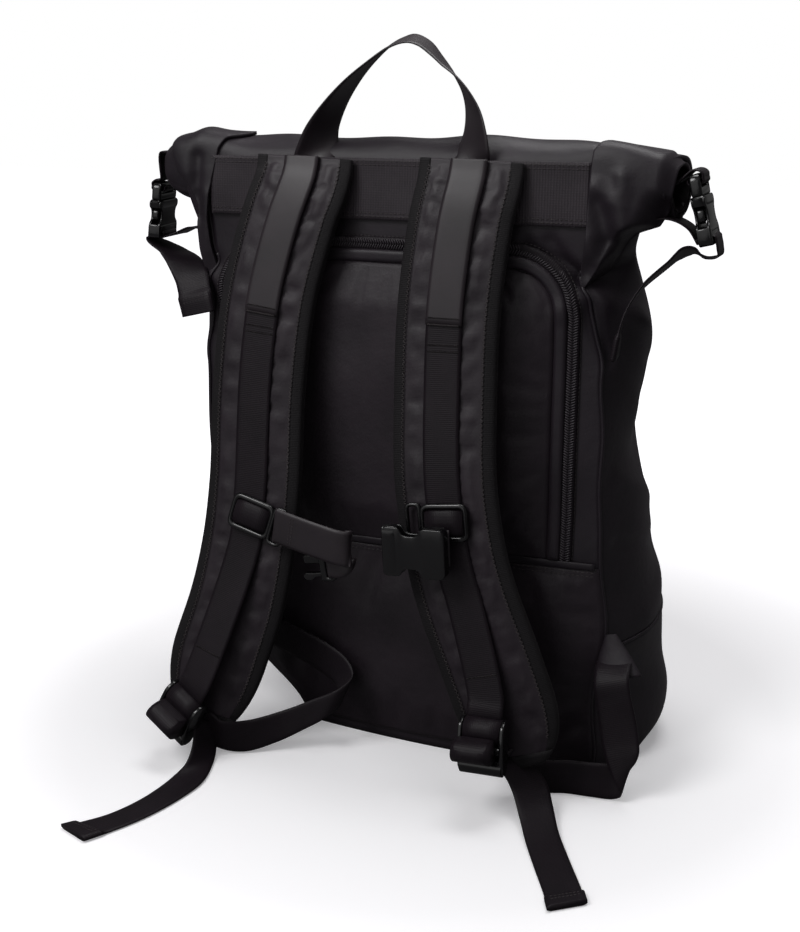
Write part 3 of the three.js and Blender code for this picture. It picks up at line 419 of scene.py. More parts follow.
# how far the back, side and front stand out between their seams, by height
crownRows = [
    (0, 7, 26, 14), (18, 7, 28, 14), (40, 6, 30, 15), (66, 6, 29, 15), (105, 6, 25, 15), (165, 6, 23, 15),
    (250, 6, 16, 13), (310, 6, 27, 10), (350, 4, 22, 7), (372, 2.5, 18, 5), (390, 1, 19, 3), (408, 0, 22, 0),
]
# soft hollows: place, push along x and y, reach
hollows = [
    (150, -40, 352, -3, 0, 22), (-150, -40, 352, 3, 0, 22), (168, 10, 232, -7, 0, 34), (-168, 10, 232, 7, 0, 34),
    (60, 60, 300, 0, -7, 40), (-60, 60, 300, 0, -7, 40), (0, 78, 120, 0, 6, 70), (147, -62, 354, -9, 0, 20),
]
wallAt, crownAt = tableCurve(wallRows), tableCurve(crownRows)
mouthHeight, rollMiddle = 408, 6
droop = {"left": 0, "right": 12.5, "from": 115, "reach": 71}  # how far the ends of the roll hang, and from where


def droopAt(x):
    past = np.maximum(0, np.abs(x - rollMiddle) - droop["from"]) / droop["reach"]
    return np.where(x < 0, droop["left"], droop["right"]) * past**2


def hollowed(points):
    result = points.copy()
    for x, y, z, pushX, pushY, reach in hollows:
        share = np.exp(-(((points - (x, y, z)) ** 2).sum(-1)) / reach**2)
        result[..., 0] += pushX * share
        result[..., 1] += pushY * share
    return result


# folds of the neck and walls: start, end, push and reach of each line that the cloth is pulled along
foldLines = [
    ((136, -62, 353), (180, -30, 366), (-5, 4, 0), 6), ((138, -62, 342), (178, -25, 318), (5, -3, 0), 9),
    ((134, -66, 352), (112, -69, 377), (0, 4.6, 0), 4), ((133, -66, 356), (96, -69, 374), (0, 4, 0), 4),
    ((134, -66, 346), (120, -69, 330), (0, -2, 0), 6), ((137, -64, 345), (150, -60, 300), (-3, 3, 0), 4),
    ((-140, -62, 352), (-170, -30, 366), (4, 3, 0), 7), ((-140, -62, 340), (-168, -25, 318), (-4, -2, 0), 9),
    ((150, -60, 300), (166, -10, 250), (3, 0, 0), 12), ((-146, -60, 290), (-164, -10, 240), (-3, 0, 0), 12),
    ((-90, 55, 250), (60, 66, 220), (0, 4, 0), 16), ((-70, 40, 310), (90, 46, 318), (0, 4, 0), 14),
    ((-40, 76, 180), (110, 74, 150), (0, -4, 0), 18), ((-120, 70, 60), (-60, 76, 130), (0, 4, 0), 14),
    ((130, 66, 50), (80, 76, 120), (0, 4, 0), 14), ((172, -20, 110), (180, 30, 130), (3, 0, 0), 12),
    ((-166, -20, 110), (-172, 30, 130), (-3, 0, 0), 12), ((160, -40, 60), (172, 30, 40), (-4, 0, 0), 10),
    ((158, -55, 335), (166, 0, 285), (-3.5, 0, 0), 8), ((166, -45, 215), (172, 20, 190), (3, 0, 0), 9),
    ((165, -50, 170), (176, 25, 150), (-2.5, 0, 0), 8), ((-158, -50, 330), (-166, 5, 280), (3.5, 0, 0), 8),
    ((-160, -45, 215), (-170, 20, 190), (-3, 0, 0), 9), ((-160, -50, 170), (-172, 25, 150), (2.5, 0, 0), 8),
    ((-110, 66, 190), (-20, 78, 205), (0, -3.5, 0), 9), ((100, 60, 262), (20, 68, 240), (0, -3.5, 0), 10),
]
slack = {"seed": 5, "low": 45, "high": 120, "amount": 1.5}


def folded(points, lines):
    result = points.copy()
    for start, end, push, reach in lines:
        start, line = np.array(start, float), np.subtract(end, start)
        share = np.clip(((points - start) @ line) / (line @ line), 0, 1)
        away = ((points - start - share[..., None] * line) ** 2).sum(-1)
        result += np.exp(-away / reach**2)[..., None] * np.array(push, float)
    waves = ripple(points, **slack) * (1, 0.6, 0)
    return result + waves * smoothStep(points[..., 2], 0, 40)[..., None]


def wallPoints(side, t, z):
    t, z = np.broadcast_arrays(np.asarray(t, float), np.asarray(z, float))
    seam, frontSeam, back, front, shift = np.moveaxis(wallAt(z), -1, 0)
    backCrown, sideCrown, frontCrown = np.moveaxis(crownAt(z), -1, 0)
    crown = 1 - (2 * t - 1) ** 2
    backBend = 1 + 0.7 * smoothStep(z, 315, 360)
    x, y = {
        "back": (mix(-seam, seam, t), back - backCrown * crown),
        "right": (mix(seam, frontSeam, t) + sideCrown * crown, mix(back, front, t)),
        "front": (mix(frontSeam, -frontSeam, t), front + frontCrown * crown),
        "left": (-mix(frontSeam, seam, t) - sideCrown * crown, mix(front, back, 1 - (1 - t) ** backBend)),
    }[side]
    points = hollowed(np.stack([x + shift, y, z], -1))
    points[..., 2] -= droopAt(points[..., 0]) * smoothStep(z, 330, mouthHeight)
    return folded(points, foldLines)


# points on the back panel at given x and z, lifted off it
def backPoints(x, z, lift):
    x, z, lift = np.broadcast_arrays(np.asarray(x, float), np.asarray(z, float), np.asarray(lift, float))
    seam, _, back, _, shift = np.moveaxis(wallAt(np.minimum(z, mouthHeight)), -1, 0)
    crown = crownAt(np.minimum(z, mouthHeight))[..., 0]
    y = back - crown * (1 - ((x - shift) / seam) ** 2)
    points = folded(hollowed(np.stack([x, y, z], -1)), foldLines)
    points[..., 0] = x
    points[..., 1] -= lift
    return points


# height of the seam between the side and the base at share t of a wall
def baseSeam(side, t):
    return {"right": mix(96, 112, t), "front": 112 + 0 * t, "left": mix(112, 96, t)}[side]


clothThickness = 1.4
inside = {"back": (0, 1, 0), "right": (-1, 0, 0), "front": (0, -1, 0), "left": (1, 0, 0)}
wallColumns = {"right": 44, "front": 64, "left": 44}
heights = np.concatenate([np.linspace(0, 330, 84), np.linspace(334, mouthHeight, 30)])
backGrid = wallPoints("back", np.linspace(0, 1, 90)[None, :], heights[:, None])
wovenPiece("back_cloth", thickSheet(backGrid, clothThickness, inside["back"]), nylonCloth, "nylon", "back_panel")
for side, node in (("right", "side_panel_right"), ("left", "side_panel_left"), ("front", "front_panel")):
    t = np.linspace(0, 1, wallColumns[side])[None, :]
    grid = wallPoints(side, t, mix(baseSeam(side, t), mouthHeight, np.linspace(0, 1, 90)[:, None]))
    sheet = thickSheet(grid, clothThickness, inside[side])
    wovenPiece(node.replace("panel", "cloth"), sheet, nylonCloth, "nylon", node)

# base: the low wall round the sides and front, then the floor inside it
floorCloth = {"low": 0.05, "high": 1.5}


def baseShape():
    walls = {}
    for side in ("right", "front", "left"):
        t = np.linspace(0, 1, wallColumns[side])[None, :]
        walls[side] = wallPoints(side, t, baseSeam(side, t) * np.linspace(0, 1, 34)[:, None] ** 1.2)
    backEdge = wallPoints("back", np.linspace(0, 1, 60), 0)
    outline = np.concatenate([wall[0, :-1] for wall in walls.values()] + [backEdge[:-1]])
    levels = [(share, floorCloth["low"]) for share in (0, 0.02, 0.1, 0.3, 0.6, 0.9)]
    levels += [(share, floorCloth["high"]) for share in (0.9, 0.6, 0.3, 0.02)]
    floor = np.stack([mix(outline, outline.mean(0), share) + (0, 0, height) for share, height in levels])
    floor[:, :, 2] = np.maximum(floor[:, :, 2], floorCloth["low"])
    sheets = [thickSheet(wall, clothThickness, inside[side]) for side, wall in walls.items()]
    return joinedShapes(sheets + [skin(floor)])


wovenPiece("base_cloth", baseShape(), nylonCloth, "nylon", "base_cup")


# a profile carried along a path, with its width, thickness and lift at each place
def ringsOf(frames, profile, widthAt=1.0, thickAt=1.0, liftAt=0.0):
    profile, count = np.asarray(profile, float), len(frames["path"])
    width, thick, lift = (
        np.broadcast_to(np.asarray(value, float), count)[:, None, None] for value in (widthAt, thickAt, liftAt)
    )
    return (
        frames["path"][:, None, :]
        + frames["width"][:, None, :] * profile[None, :, :1] * width
        + frames["normal"][:, None, :] * (profile[None, :, 1:] * thick + lift)
    )


def roundProfile(radiusX, radiusY, count=10):
    angle = np.arange(count) / count * 2 * np.pi
    return np.stack([radiusX * np.cos(angle), radiusY * np.sin(angle)], 1)


# a line on the bag, turned to face outwards
def facingFrames(path, outward):
    tangent, outward = unit(np.gradient(path, axis=0)), np.asarray(outward, float)
    normal = unit(outward - tangent * (tangent @ outward)[:, None])
    return {"path": path, "tangent": tangent, "normal": normal, "width": np.cross(normal, tangent)}


# piped seams: a narrow rolled ridge where two walls are sewn together
piping = {"corner": 1.3, "base": 1.1}
seamHeights = np.linspace(4, 358, 150)
seamPlaces = [
    (wallPoints(side, t, seamHeights), outward, piping["corner"]) for side, t, outward in (
        ("back", 1, (0.7, -0.7, 0)), ("back", 0, (-0.7, -0.7, 0)),
        ("front", 0, (0.7, 0.7, 0)), ("front", 1, (-0.7, 0.7, 0)),
    )
]
for side, outward in (("right", (1, 0, 0)), ("front", (0, 1, 0)), ("left", (-1, 0, 0))):
    t = np.linspace(0, 1, 80)
    seamPlaces.append((wallPoints(side, t, baseSeam(side, t)), outward, piping["base"]))
seams = [
    skin(ringsOf(facingFrames(path, outward), roundProfile(radius, radius)))
    for path, outward, radius in seamPlaces
]
wovenPiece("seam_piping", joinedShapes(seams), nylonCloth, "nylon")
print("bag walls made")

# roll: the flattened neck rises at the back and winds forwards; the gussets beyond the side seams lie thicker
rollSize = {
    "halfLength": {"left": 186, "right": 179}, "height": 421, "centreY": -45.5, "radius": 18.8, "pitch": 4,
    "turns": 1.75, "layer": 3.2, "neckAngle": 1.9, "neckLength": 12.4,
}


def rollPoints(x, angle, lift=0.0):
    past = np.abs(x - rollMiddle)
    leftEnd = np.where(x < 0, 1, 0)
    ends = smoothStep(past, 148, 164)
    bulb = mix(1.2, 2.5, leftEnd) * smoothStep(past, 136, 162)
    soft = 1.5 * np.sin(x / 15 + 2.1 * angle) * np.sin(x / 43 + 0.7) + 1.1 * np.sin(x / 29 - 1.3 * angle + 2)
    radius = rollSize["radius"] - rollSize["pitch"] * np.maximum(angle, 0) / (2 * np.pi) + rollSize["layer"] / 2
    radius = radius + bulb + soft * smoothStep(angle, 0.5, 1.4)
    dome = np.clip((past - mix(178, 160, leftEnd)) / mix(12, 28, leftEnd), 0, 1)
    radius = radius * np.sqrt(1 - mix(0.2, 0.8, leftEnd) * dome**2) + lift
    # folded flat, the ends are squarer than the middle, and the right one is dented underneath
    square = (np.cos(angle) ** 4 + np.sin(angle) ** 4) ** -0.25
    flat = mix(0.6, 0.85, leftEnd) * smoothStep(past, 112, 146) * smoothStep(angle, -0.4, 0.2)
    dent = smoothStep(-np.sin(angle), 0.05, 0.8) * smoothStep(np.cos(angle), -0.1, 0.6) * smoothStep(x, 152, 176)
    radius = radius * mix(1, square, flat)
    radius = radius * (1 - 0.5 * dent)
    # below the roll the neck goes straight down, and at the ends on round
    low, rise = np.minimum(angle, 0), radius * np.sin(angle)
    y = rollSize["centreY"] - radius * np.cos(angle) - radius * (1 - np.cos(low)) * (1 - ends)
    straight = low / rollSize["neckAngle"] * rollSize["neckLength"]
    z = rollSize["height"] + np.where(angle < 0, mix(straight, rise, ends), rise)
    return np.stack(np.broadcast_arrays(x, y, z - droopAt(x) - 5 * leftEnd * ends), -1)


def rollGrid():
    reach = np.linspace(-1, 1, 150)
    half = np.where(reach < 0, rollSize["halfLength"]["left"], rollSize["halfLength"]["right"])
    x = rollMiddle + half * np.sign(reach) * (1 - (1 - np.abs(reach)) ** 1.25)
    turns = np.linspace(0, rollSize["turns"] * 2 * np.pi, 130)
    angle = np.concatenate([np.linspace(-rollSize["neckAngle"], 0, 16)[:-1], turns])
    x, angle = np.broadcast_arrays(x[None, :], angle[:, None])
    slant = 11 * smoothStep(x, 150, 192) * (1 - np.cos(angle)) / 2
    return rollPoints(x, angle) + np.stack([slant, 0 * x, 0 * x], -1)


wovenPiece("roll_cloth", thickSheet(rollGrid(), rollSize["layer"], (0, 0, -1)), nylonCloth, "nylon", "roll_top")

# wings: the gussets, folded flat over the ends of the roll and the band, down to the pinch in each side seam;
# edge and outer are heights with the distance from the middle, folds are as in foldLines
wings = {
    "right": {
        "sign": 1, "low": 347,
        "edge": [
            (347, 134), (361, 134), (380, 137.5), (404, 137), (426, 137.5), (434, 138.5), (439, 143), (443, 152),
        ],
        "outer": [
            (347, 136), (353, 142), (362, 150), (372, 157), (382, 162), (388, 167), (396, 180), (406, 185),
            (421, 189), (443, 192),
        ],
        "folds": [
            ((141, -69, 412), (150, -69, 404), (0, -2.4, 0), 7), ((144, -69, 402), (150, -69, 380), (0, 3.6, 0), 6),
            ((158, -69, 418), (160, -69, 384), (0, -2.2, 0), 6), ((138, -68, 358), (156, -68, 380), (0, 3, 0), 6),
            ((138, -69, 378), (144, -69, 366), (0, -1.6, 0), 6),
        ],
    },
    "left": {
        "sign": -1, "low": 330,
        "edge": [
            (330, 133), (336, 134.8), (364, 138.5), (383, 139), (411, 134.7), (431, 130.5), (437, 126), (440, 118),
            (443, 112),
        ],
        "outer": [(330, 146), (345, 151), (362, 153), (393, 153), (404, 160), (421, 170), (443, 178)],
        "folds": [
            ((-146, -69, 425), (-147, -69, 385), (0, 3, 0), 5), ((-152, -68, 398), (-170, -68, 420), (0, 3, 0), 6),
            ((-139, -69, 400), (-143, -69, 350), (0, -1.5, 0), 4),
        ],
    },
}
wingThickness = 2.4


def wingGrid(look):
    angle = np.linspace(1.62, 0, 26)
    lows = np.linspace(rollSize["height"], look["low"], 52)[1:]
    levels = np.concatenate([rollSize["height"] + 22 * np.sin(angle), lows])[:, None]
    u = np.linspace(0, 1, 44)[None, :]
    edge, outer = (np.interp(levels, *np.array(look[key]).T) for key in ("edge", "outer"))
    angles = np.concatenate([angle, 0 * lows])[:, None]
    points = rollPoints(look["sign"] * mix(edge, outer, u), angles, mix(2.8, -2, smoothStep(u, 0.8, 1)))
    down = np.maximum(0, rollSize["height"] - levels)
    points[..., 2] -= down
    hang = np.interp(down, [0, 16, 36, 52, 62, 74, 91], [0, -1.6, -1.2, 0.2, 1.6, 4.6, 5.5])
    flat = smoothStep(down, 0, 14)
    points[..., 1] = mix(points[..., 1], -68.6, flat) + hang + 17 * flat * smoothStep(u, 0.6, 1) ** 1.6
    return folded(points, look["folds"])


for side, look in wings.items():
    wovenPiece("wing_cloth_" + side, thickSheet(wingGrid(look), wingThickness, (0, 1, 0)), nylonCloth, "nylon")
print("roll made")

# repeated beads: stitches and zip coil, one stretched ball for each point of a cloud
beadTree = bpy.data.node_groups.new("repeatedBeads", "GeometryNodeTree")
beadSockets = {}
for label, kind in (("Geometry", "Geometry"), ("Width", "Float"), ("Height", "Float"), ("Material", "Material")):
    socket = beadTree.interface.new_socket(label, in_out="INPUT", socket_type="NodeSocket" + kind)
    beadSockets[label] = socket.identifier
beadTree.interface.new_socket("Geometry", in_out="OUTPUT", socket_type="NodeSocketGeometry")
beadIn = addNode(beadTree, "NodeGroupInput")
ball = addNode(beadTree, "GeometryNodeMeshUVSphere", {"Segments": 8, "Rings": 5, "Radius": 0.5})
along, outward, span = (
    addNode(beadTree, "GeometryNodeInputNamedAttribute", {"Name": name}, data_type=kind)
    for name, kind in (("along", "FLOAT_VECTOR"), ("outward", "FLOAT_VECTOR"), ("span", "FLOAT"))
)
firstTurn = addNode(
    beadTree, "FunctionNodeAlignRotationToVector", links={"Vector": along.outputs["Attribute"]}, axis="X",
)
secondTurn = addNode(
    beadTree, "FunctionNodeAlignRotationToVector",
    links={"Vector": outward.outputs["Attribute"], "Rotation": firstTurn.outputs["Rotation"]},
    axis="Z", pivot_axis="X",
)
size = addNode(beadTree, "ShaderNodeCombineXYZ", links={
    "X": span.outputs["Attribute"], "Y": beadIn.outputs["Width"], "Z": beadIn.outputs["Height"],
})
beads = addNode(beadTree, "GeometryNodeInstanceOnPoints", links={
    "Points": beadIn.outputs["Geometry"], "Instance": ball.outputs["Mesh"],
    "Rotation": secondTurn.outputs["Rotation"], "Scale": size.outputs["Vector"],
})
real = addNode(beadTree, "GeometryNodeRealizeInstances", links={"Geometry": beads.outputs["Instances"]})
smoothBeads = addNode(beadTree, "GeometryNodeSetShadeSmooth", links={"Geometry": real.outputs["Geometry"]})
dressed = addNode(beadTree, "GeometryNodeSetMaterial", links={
    "Geometry": smoothBeads.outputs["Geometry"], "Material": beadIn.outputs["Material"],
})
addNode(beadTree, "NodeGroupOutput", links={"Geometry": dressed.outputs["Geometry"]})


# rows are places, directions along, directions outwards and lengths of the beads
def beadPiece(name, rows, width, height, material, slot, *nodes):
    places, alongs, outs, spans = (np.concatenate([np.asarray(row[k], float) for row in rows]) for k in range(4))
    mesh = bpy.data.meshes.new(name + "_points")
    mesh.from_pydata((places * mm).tolist(), [], [])
    for key, kind, entry, values in (
        ("along", "FLOAT_VECTOR", "vector", alongs), ("outward", "FLOAT_VECTOR", "vector", outs),
        ("span", "FLOAT", "value", spans * mm),
    ):
        layer = mesh.attributes.new(key, kind, "POINT")
        layer.data.foreach_set(entry, values.ravel().astype(np.float32))
    cloud = linked(name + "_points", mesh)
    modifier = cloud.modifiers.new("beads", "NODES")
    modifier.node_group = beadTree
    for label, value in (("Width", width * mm), ("Height", height * mm), ("Material", material)):
        modifier[beadSockets[label]] = value
    whole = frozen(cloud)
    whole.name = name
    return onBody(linked(name, whole), slot, *nodes)


# even places along a path, with its outward directions
def evenly(path, outward, pitch):
    path = np.asarray(path, float)
    outward = np.broadcast_to(np.asarray(outward, float), path.shape)
    length = lengthAlong(path)
    at = np.linspace(0, length[-1], max(2, int(round(length[-1] / pitch)) + 1))
    return columnsAt(at, length, path), unit(columnsAt(at, length, outward)), length[-1] / (len(at) - 1)


# running stitches: rows of beads end to end along a path
def running(path, outward, pitch=3.2, share=0.72):
    places, outs, step = evenly(path, outward, pitch)
    middle = (places[1:] + places[:-1]) / 2
    alongs = unit(places[1:] - places[:-1])
    return middle, alongs, outs[1:], np.full(len(middle), step * share)


# zigzag stitches about a path
def zigzag(path, outward, sideways, pitch, share=0.95):
    places, outs, _ = evenly(path, outward, pitch)
    tangent = unit(np.gradient(places, axis=0))
    turn = np.where(np.arange(len(places)) % 2, 1, -1)[:, None]
    places = places + turn * np.cross(outs, tangent) * sideways / 2
    alongs = places[1:] - places[:-1]
    spans = np.linalg.norm(alongs, axis=1)
    return (places[1:] + places[:-1]) / 2, alongs / spans[:, None], outs[1:], spans * share


stitchRows = []
print("bead tree made")


# cloth simulation on a padded piece: pressure from inside, its sewn points held, movement capped
puffing = {"quality": 6, "mass": 0.12, "frames": 20}


def puffed(piece, sewn, look):
    before, after = np.empty((2, len(piece.data.vertices) * 3), np.float32)
    piece.data.vertices.foreach_get("co", before)
    piece.vertex_groups.new(name="sewn").add(np.flatnonzero(sewn).tolist(), 1.0, "REPLACE")
    cloth = piece.modifiers.new("cloth", "CLOTH")
    cloth.settings.quality = puffing["quality"]
    cloth.settings.mass = puffing["mass"]
    cloth.settings.bending_stiffness = look["bending"]
    cloth.settings.use_pressure = True
    cloth.settings.uniform_pressure_force = look["pressure"]
    cloth.settings.shrink_min = -look["slack"]
    cloth.settings.vertex_group_mass = "sewn"
    cloth.settings.effector_weights.gravity = 0
    cloth.point_cache.frame_start, cloth.point_cache.frame_end = 1, puffing["frames"]
    for step in range(1, puffing["frames"] + 1):
        bpy.context.scene.frame_set(step)
    piece.evaluated_get(bpy.context.evaluated_depsgraph_get()).data.vertices.foreach_get("co", after)
    piece.modifiers.remove(cloth)
    bpy.context.scene.frame_set(1)
    move = (after - before).reshape(-1, 3)
    far = np.linalg.norm(move, axis=1, keepdims=True)
    move *= np.minimum(1, look["cap"] * mm / np.maximum(far, 1e-9))
    piece.data.vertices.foreach_set("co", before + move.ravel())
    piece.data.update()
    print(piece.name, "simulated, largest move", round(float(far.max()) / mm, 1), "mm")


# top band: ribbed webbing sewn over the neck between the side seams
bandSize = {"half": 137, "bottom": 386.5, "top": 427, "thickness": 1.8, "stitches": (425, 422.6, 391, 388.6)}
bandX = np.linspace(-bandSize["half"] + 1, bandSize["half"] + 1, 110)[None, :]
bandZ = np.linspace(bandSize["bottom"], bandSize["top"], 18)[:, None]
band = thickSheet(backPoints(bandX, bandZ, 2.6), bandSize["thickness"], (0, 1, 0))
wovenPiece("top_band_webbing", band, bandWebbing, "webbing", "top_band")
for z in bandSize["stitches"]:
    stitchRows.append(running(backPoints(bandX[0], z, 2.75), (0, -1, 0)))

# zip round three sides of the door: a flat tape, a folded lip on the door side and two rows of coil outside it
zipSize = {"side": 127, "top": 367, "bottom": 160, "corner": 40, "tape": 16, "coilPitch": 1.8, "coilWidth": 4.6}


def zipPath(offset):
    side, top, corner = zipSize["side"] + offset, zipSize["top"] + offset, zipSize["corner"] + offset
    turn = np.linspace(0, np.pi / 2, 30)
    rise = np.linspace(zipSize["bottom"], top - corner, 60)
    left = np.stack([np.full(60, -side), rise], 1)
    leftTurn = np.stack([-side + corner - corner * np.cos(turn), top - corner + corner * np.sin(turn)], 1)
    over = np.stack([np.linspace(-side + corner, side - corner, 60), np.full(60, top)], 1)
    half = np.concatenate([left, leftTurn[1:], over[1:]])
    right = np.concatenate([leftTurn[::-1][1:] * (-1, 1), left[::-1][1:] * (-1, 1)])
    return np.concatenate([half, right])


def zipFrames(offset, lift):
    flat = zipPath(offset)
    return facingFrames(backPoints(flat[:, 0], flat[:, 1], lift), (0, -1, 0))


# section of a flat ribbon whose edges are thinner than its middle
def flatProfile(width, thickness, columns=9, edge=0.45):
    across = np.linspace(-0.5, 0.5, columns) * width
    rim = np.where(np.abs(across) > 0.49 * width, edge, 1.0) * thickness / 2
    return np.concatenate([np.stack([across, rim], 1), np.stack([across, -rim], 1)[::-1]])


tape = skin(ringsOf(zipFrames(0, 1.3), flatProfile(zipSize["tape"], 1)))
wovenPiece("zip_tape_webbing", tape, ribbedWebbing, "webbing", "zip_tape")
lipAcross = np.linspace(-1, 1, 11)
lipTop = np.stack([4.4 * lipAcross, 0.3 + 1.9 * (1 - lipAcross**4)], 1)
lip = skin(ringsOf(zipFrames(-4.6, 2), np.concatenate([lipTop, [(4.4, -0.4), (-4.4, -0.4)]])))
wovenPiece("zip_lip_cloth", lip, nylonCloth, "nylon")
coilRows = []
for offset, slant in ((1.9, 0.5), (5.3, -0.5)):
    coil = zipFrames(offset, 2.4)
    # coarser than a real coil, to show
    places, outs, _ = evenly(coil["path"], coil["normal"], zipSize["coilPitch"])
    tangent = unit(np.gradient(places, axis=0))
    alongs = unit(np.cross(outs, tangent) + slant * tangent)
    coilRows.append((places, alongs, outs, np.full(len(places), zipSize["coilWidth"])))
beadPiece("zip_coil_rows", coilRows, 1.3, 1.7, coilNylon, "plastic", "zip_coil")
outer = zipFrames(8.6, 1.1)
stitchRows.append(running(outer["path"], outer["normal"], 3))


# padded panels on the back: rounded grids closed by a flat back, puffed by the cloth simulation
def backPanelPiece(name, node, look, halfAt, middleAt):
    v = np.linspace(0, 1, look["rows"])[:, None]
    u = np.linspace(0, 1, look["columns"])[None, :]
    z = mix(look["bottom"], look["top"], v)
    x = middleAt(z) + mix(-halfAt(z), halfAt(z), u)
    pad = (1 - (2 * u - 1) ** 8) * (1 - (2 * v - 1) ** 8)
    front = backPoints(x, z, 0.9 + look["edge"] + look["crown"] * pad)
    _, faces, uv = thickSheet(front, 1, (0, 1, 0))
    points = np.concatenate([front.reshape(-1, 3), backPoints(x, z, 0.7).reshape(-1, 3)])
    piece = meshPiece(name, (points, faces, uv), paddedCloth)
    sewn = np.ones((2, look["rows"], look["columns"]), bool)
    sewn[0, 2:-2, 2:-2] = False
    puffed(piece, sewn.ravel(), look)
    onBody(piece, "padding", node)


doorInset = 9  # from the middle of the zip to the door's edge


def doorHalf(z):
    corner = zipSize["corner"] - doorInset
    past = np.maximum(0, z - (zipSize["top"] - doorInset - corner))
    return zipSize["side"] - doorInset - corner + np.sqrt(np.maximum(0, corner**2 - past**2))


doorLook = {
    "bottom": 158, "top": zipSize["top"] - doorInset, "edge": 1.2, "crown": 3.0, "rows": 60, "columns": 70,
    "pressure": 4, "bending": 0.6, "slack": 0.012, "cap": 4, "fill": 0.5,
}
backPanelPiece("back_door_pad", "back_door", doorLook, doorHalf, lambda z: 0 * z)
lowerLook = {
    "bottom": 8, "top": 156, "edge": 0.4, "crown": 3.2, "rows": 44, "columns": 80,
    "pressure": 3, "bending": 0.6, "slack": 0.012, "cap": 4, "fill": 0.4,
}
backPanelPiece(
    "lower_back_pad", "lower_back_panel", lowerLook,
    lambda z: wallAt(z)[..., 0] - 0.8, lambda z: wallAt(z)[..., 4],
)
seamX = np.linspace(-143, 152, 90)
stripFrames = {
    "path": backPoints(seamX, 157.2, 2.6), "normal": np.tile((0.0, -1.0, 0.0), (90, 1)),
    "width": np.tile((0.0, 0.0, 1.0), (90, 1)),
}
wovenPiece("seam_strip_cloth", skin(ringsOf(stripFrames, roundProfile(2.6, 0.7, 12))), nylonCloth, "nylon")
for z in (153.6, 151):
    stitchRows.append(running(backPoints(seamX, z, 4.4), (0, -1, 0)))
print("back made")

# shoulder straps: x, y, z of the middle and turn about z, from the top seam to the lower end
strapLines = {
    "left": [
        (-60, -71.5, 427, 0), (-60.8, -74.8, 412, 0), (-68, -81, 388, 0), (-80, -91, 335, 0), (-85, -101, 272, 0),
        (-85, -111, 205, 0), (-88, -118, 160, 2), (-95, -125, 118, 6), (-109, -133, 70, 9), (-121, -138.5, 20, 10),
    ],
    "right": [
        (60, -71.5, 427, 0), (59.4, -74.8, 412, 0), (56, -81, 388, 0), (52.5, -91, 335, 0), (54, -101, 275, 0),
        (58.5, -111, 220, 0), (68, -116, 172, 0), (78, -119, 142, 2), (95, -122, 103, 4), (111, -123, 62, 5),
        (122, -122, 30, 6),
    ],
}
strapSize = {"half": 35, "thickness": 11, "top": 5, "endLength": 56, "bound": 9.5, "underWebbing": 12.5}
sides = ("left", "right")


def strapFrames(side, perSpan):
    rows = [
        (x, y, z, math.cos(math.radians(turn)), math.sin(math.radians(turn)), 0)
        for x, y, z, turn in strapLines[side]
    ]
    return framesAlong(rows, perSpan)


def strapThickness(share):
    return mix(strapSize["top"], strapSize["thickness"], smoothStep(share, 0, 0.16))


# section of a pad: an oval with flattened faces, as shares of its half width and half thickness
def padProfile(count):
    angle = (np.arange(count) + 0.5) / count * 2 * np.pi
    c, s = np.cos(angle), np.sin(angle)
    return np.stack([np.sign(c) * np.abs(c) ** 0.6, np.sign(s) * np.abs(s) ** 0.5], 1)


def strapHalf(frames, share):
    reach = np.linalg.norm(frames["path"][-1] - frames["path"][0])
    past = np.maximum(0, 1 - (1 - share) * reach / strapSize["endLength"])
    return strapSize["half"] * np.sqrt(1 - 0.82 * past**2)


strapLook = {"pressure": 5, "bending": 0.3, "slack": 0.03, "cap": 2.6, "fill": 0.6}
for side in sides:
    frames = strapFrames(side, 11)
    share = np.linspace(0, 1, len(frames["path"]))
    half, thick = strapHalf(frames, share), strapThickness(share) / 2
    profile = padProfile(64)
    pad = meshPiece("strap_pad_" + side, skin(ringsOf(frames, profile, half - 0.5, thick - 0.2)), paddedCloth)
    reach = np.abs(profile[:, 0])[None, :] * half[:, None]
    sewn = reach > half[:, None] - strapSize["bound"]
    sewn |= (reach < strapSize["underWebbing"]) & (profile[:, 1] > 0)[None, :]
    sewn[:4] = sewn[-4:] = True
    puffed(pad, sewn.ravel(), strapLook)
    onBody(pad, "padding", "strap_" + side)

    # binding folded over both edges: the outer part of the pad's section, a little larger, with a flat inner lip
    shapes = []
    for edge in (1, -1):
        keep = profile[profile[:, 0] * edge > 0.735]
        order = np.argsort(np.arctan2(keep[:, 1], keep[:, 0] * edge))
        outerRing = keep[order]
        innerRing = outerRing[::-1] * (0.985, 0.8)
        rings = np.concatenate([
            ringsOf(frames, outerRing, half + 0.7, thick + 0.55),
            ringsOf(frames, innerRing, half - 0.6, thick - 0.3),
        ], 1)
        shapes.append(skin(rings[:-3]))
        line = ringsOf(frames, [(edge * 0.79, 1.0)], half, thick + 0.35)[3:-6, 0]
        front = frames["normal"][3:-6]
        stitchRows.append(zigzag(line, front, 2.2, 1.5))
    sleeve = cutFrames(frames, -4, None)
    shapes.append(skin(ringsOf(sleeve, padProfile(40), half[-4:] + 0.7, thick[-4:] + 0.6)))
    wovenPiece("strap_binding_" + side, joinedShapes(shapes), bindingTape, "webbing")
print("straps made")

# webbing: flat woven ribbons with rounded edges and folded, stitched hems
webbing = {"width": 25, "thickness": 1.6, "hem": 4, "hemSpread": 0.07, "floorHem": 11, "sideHem": 15}


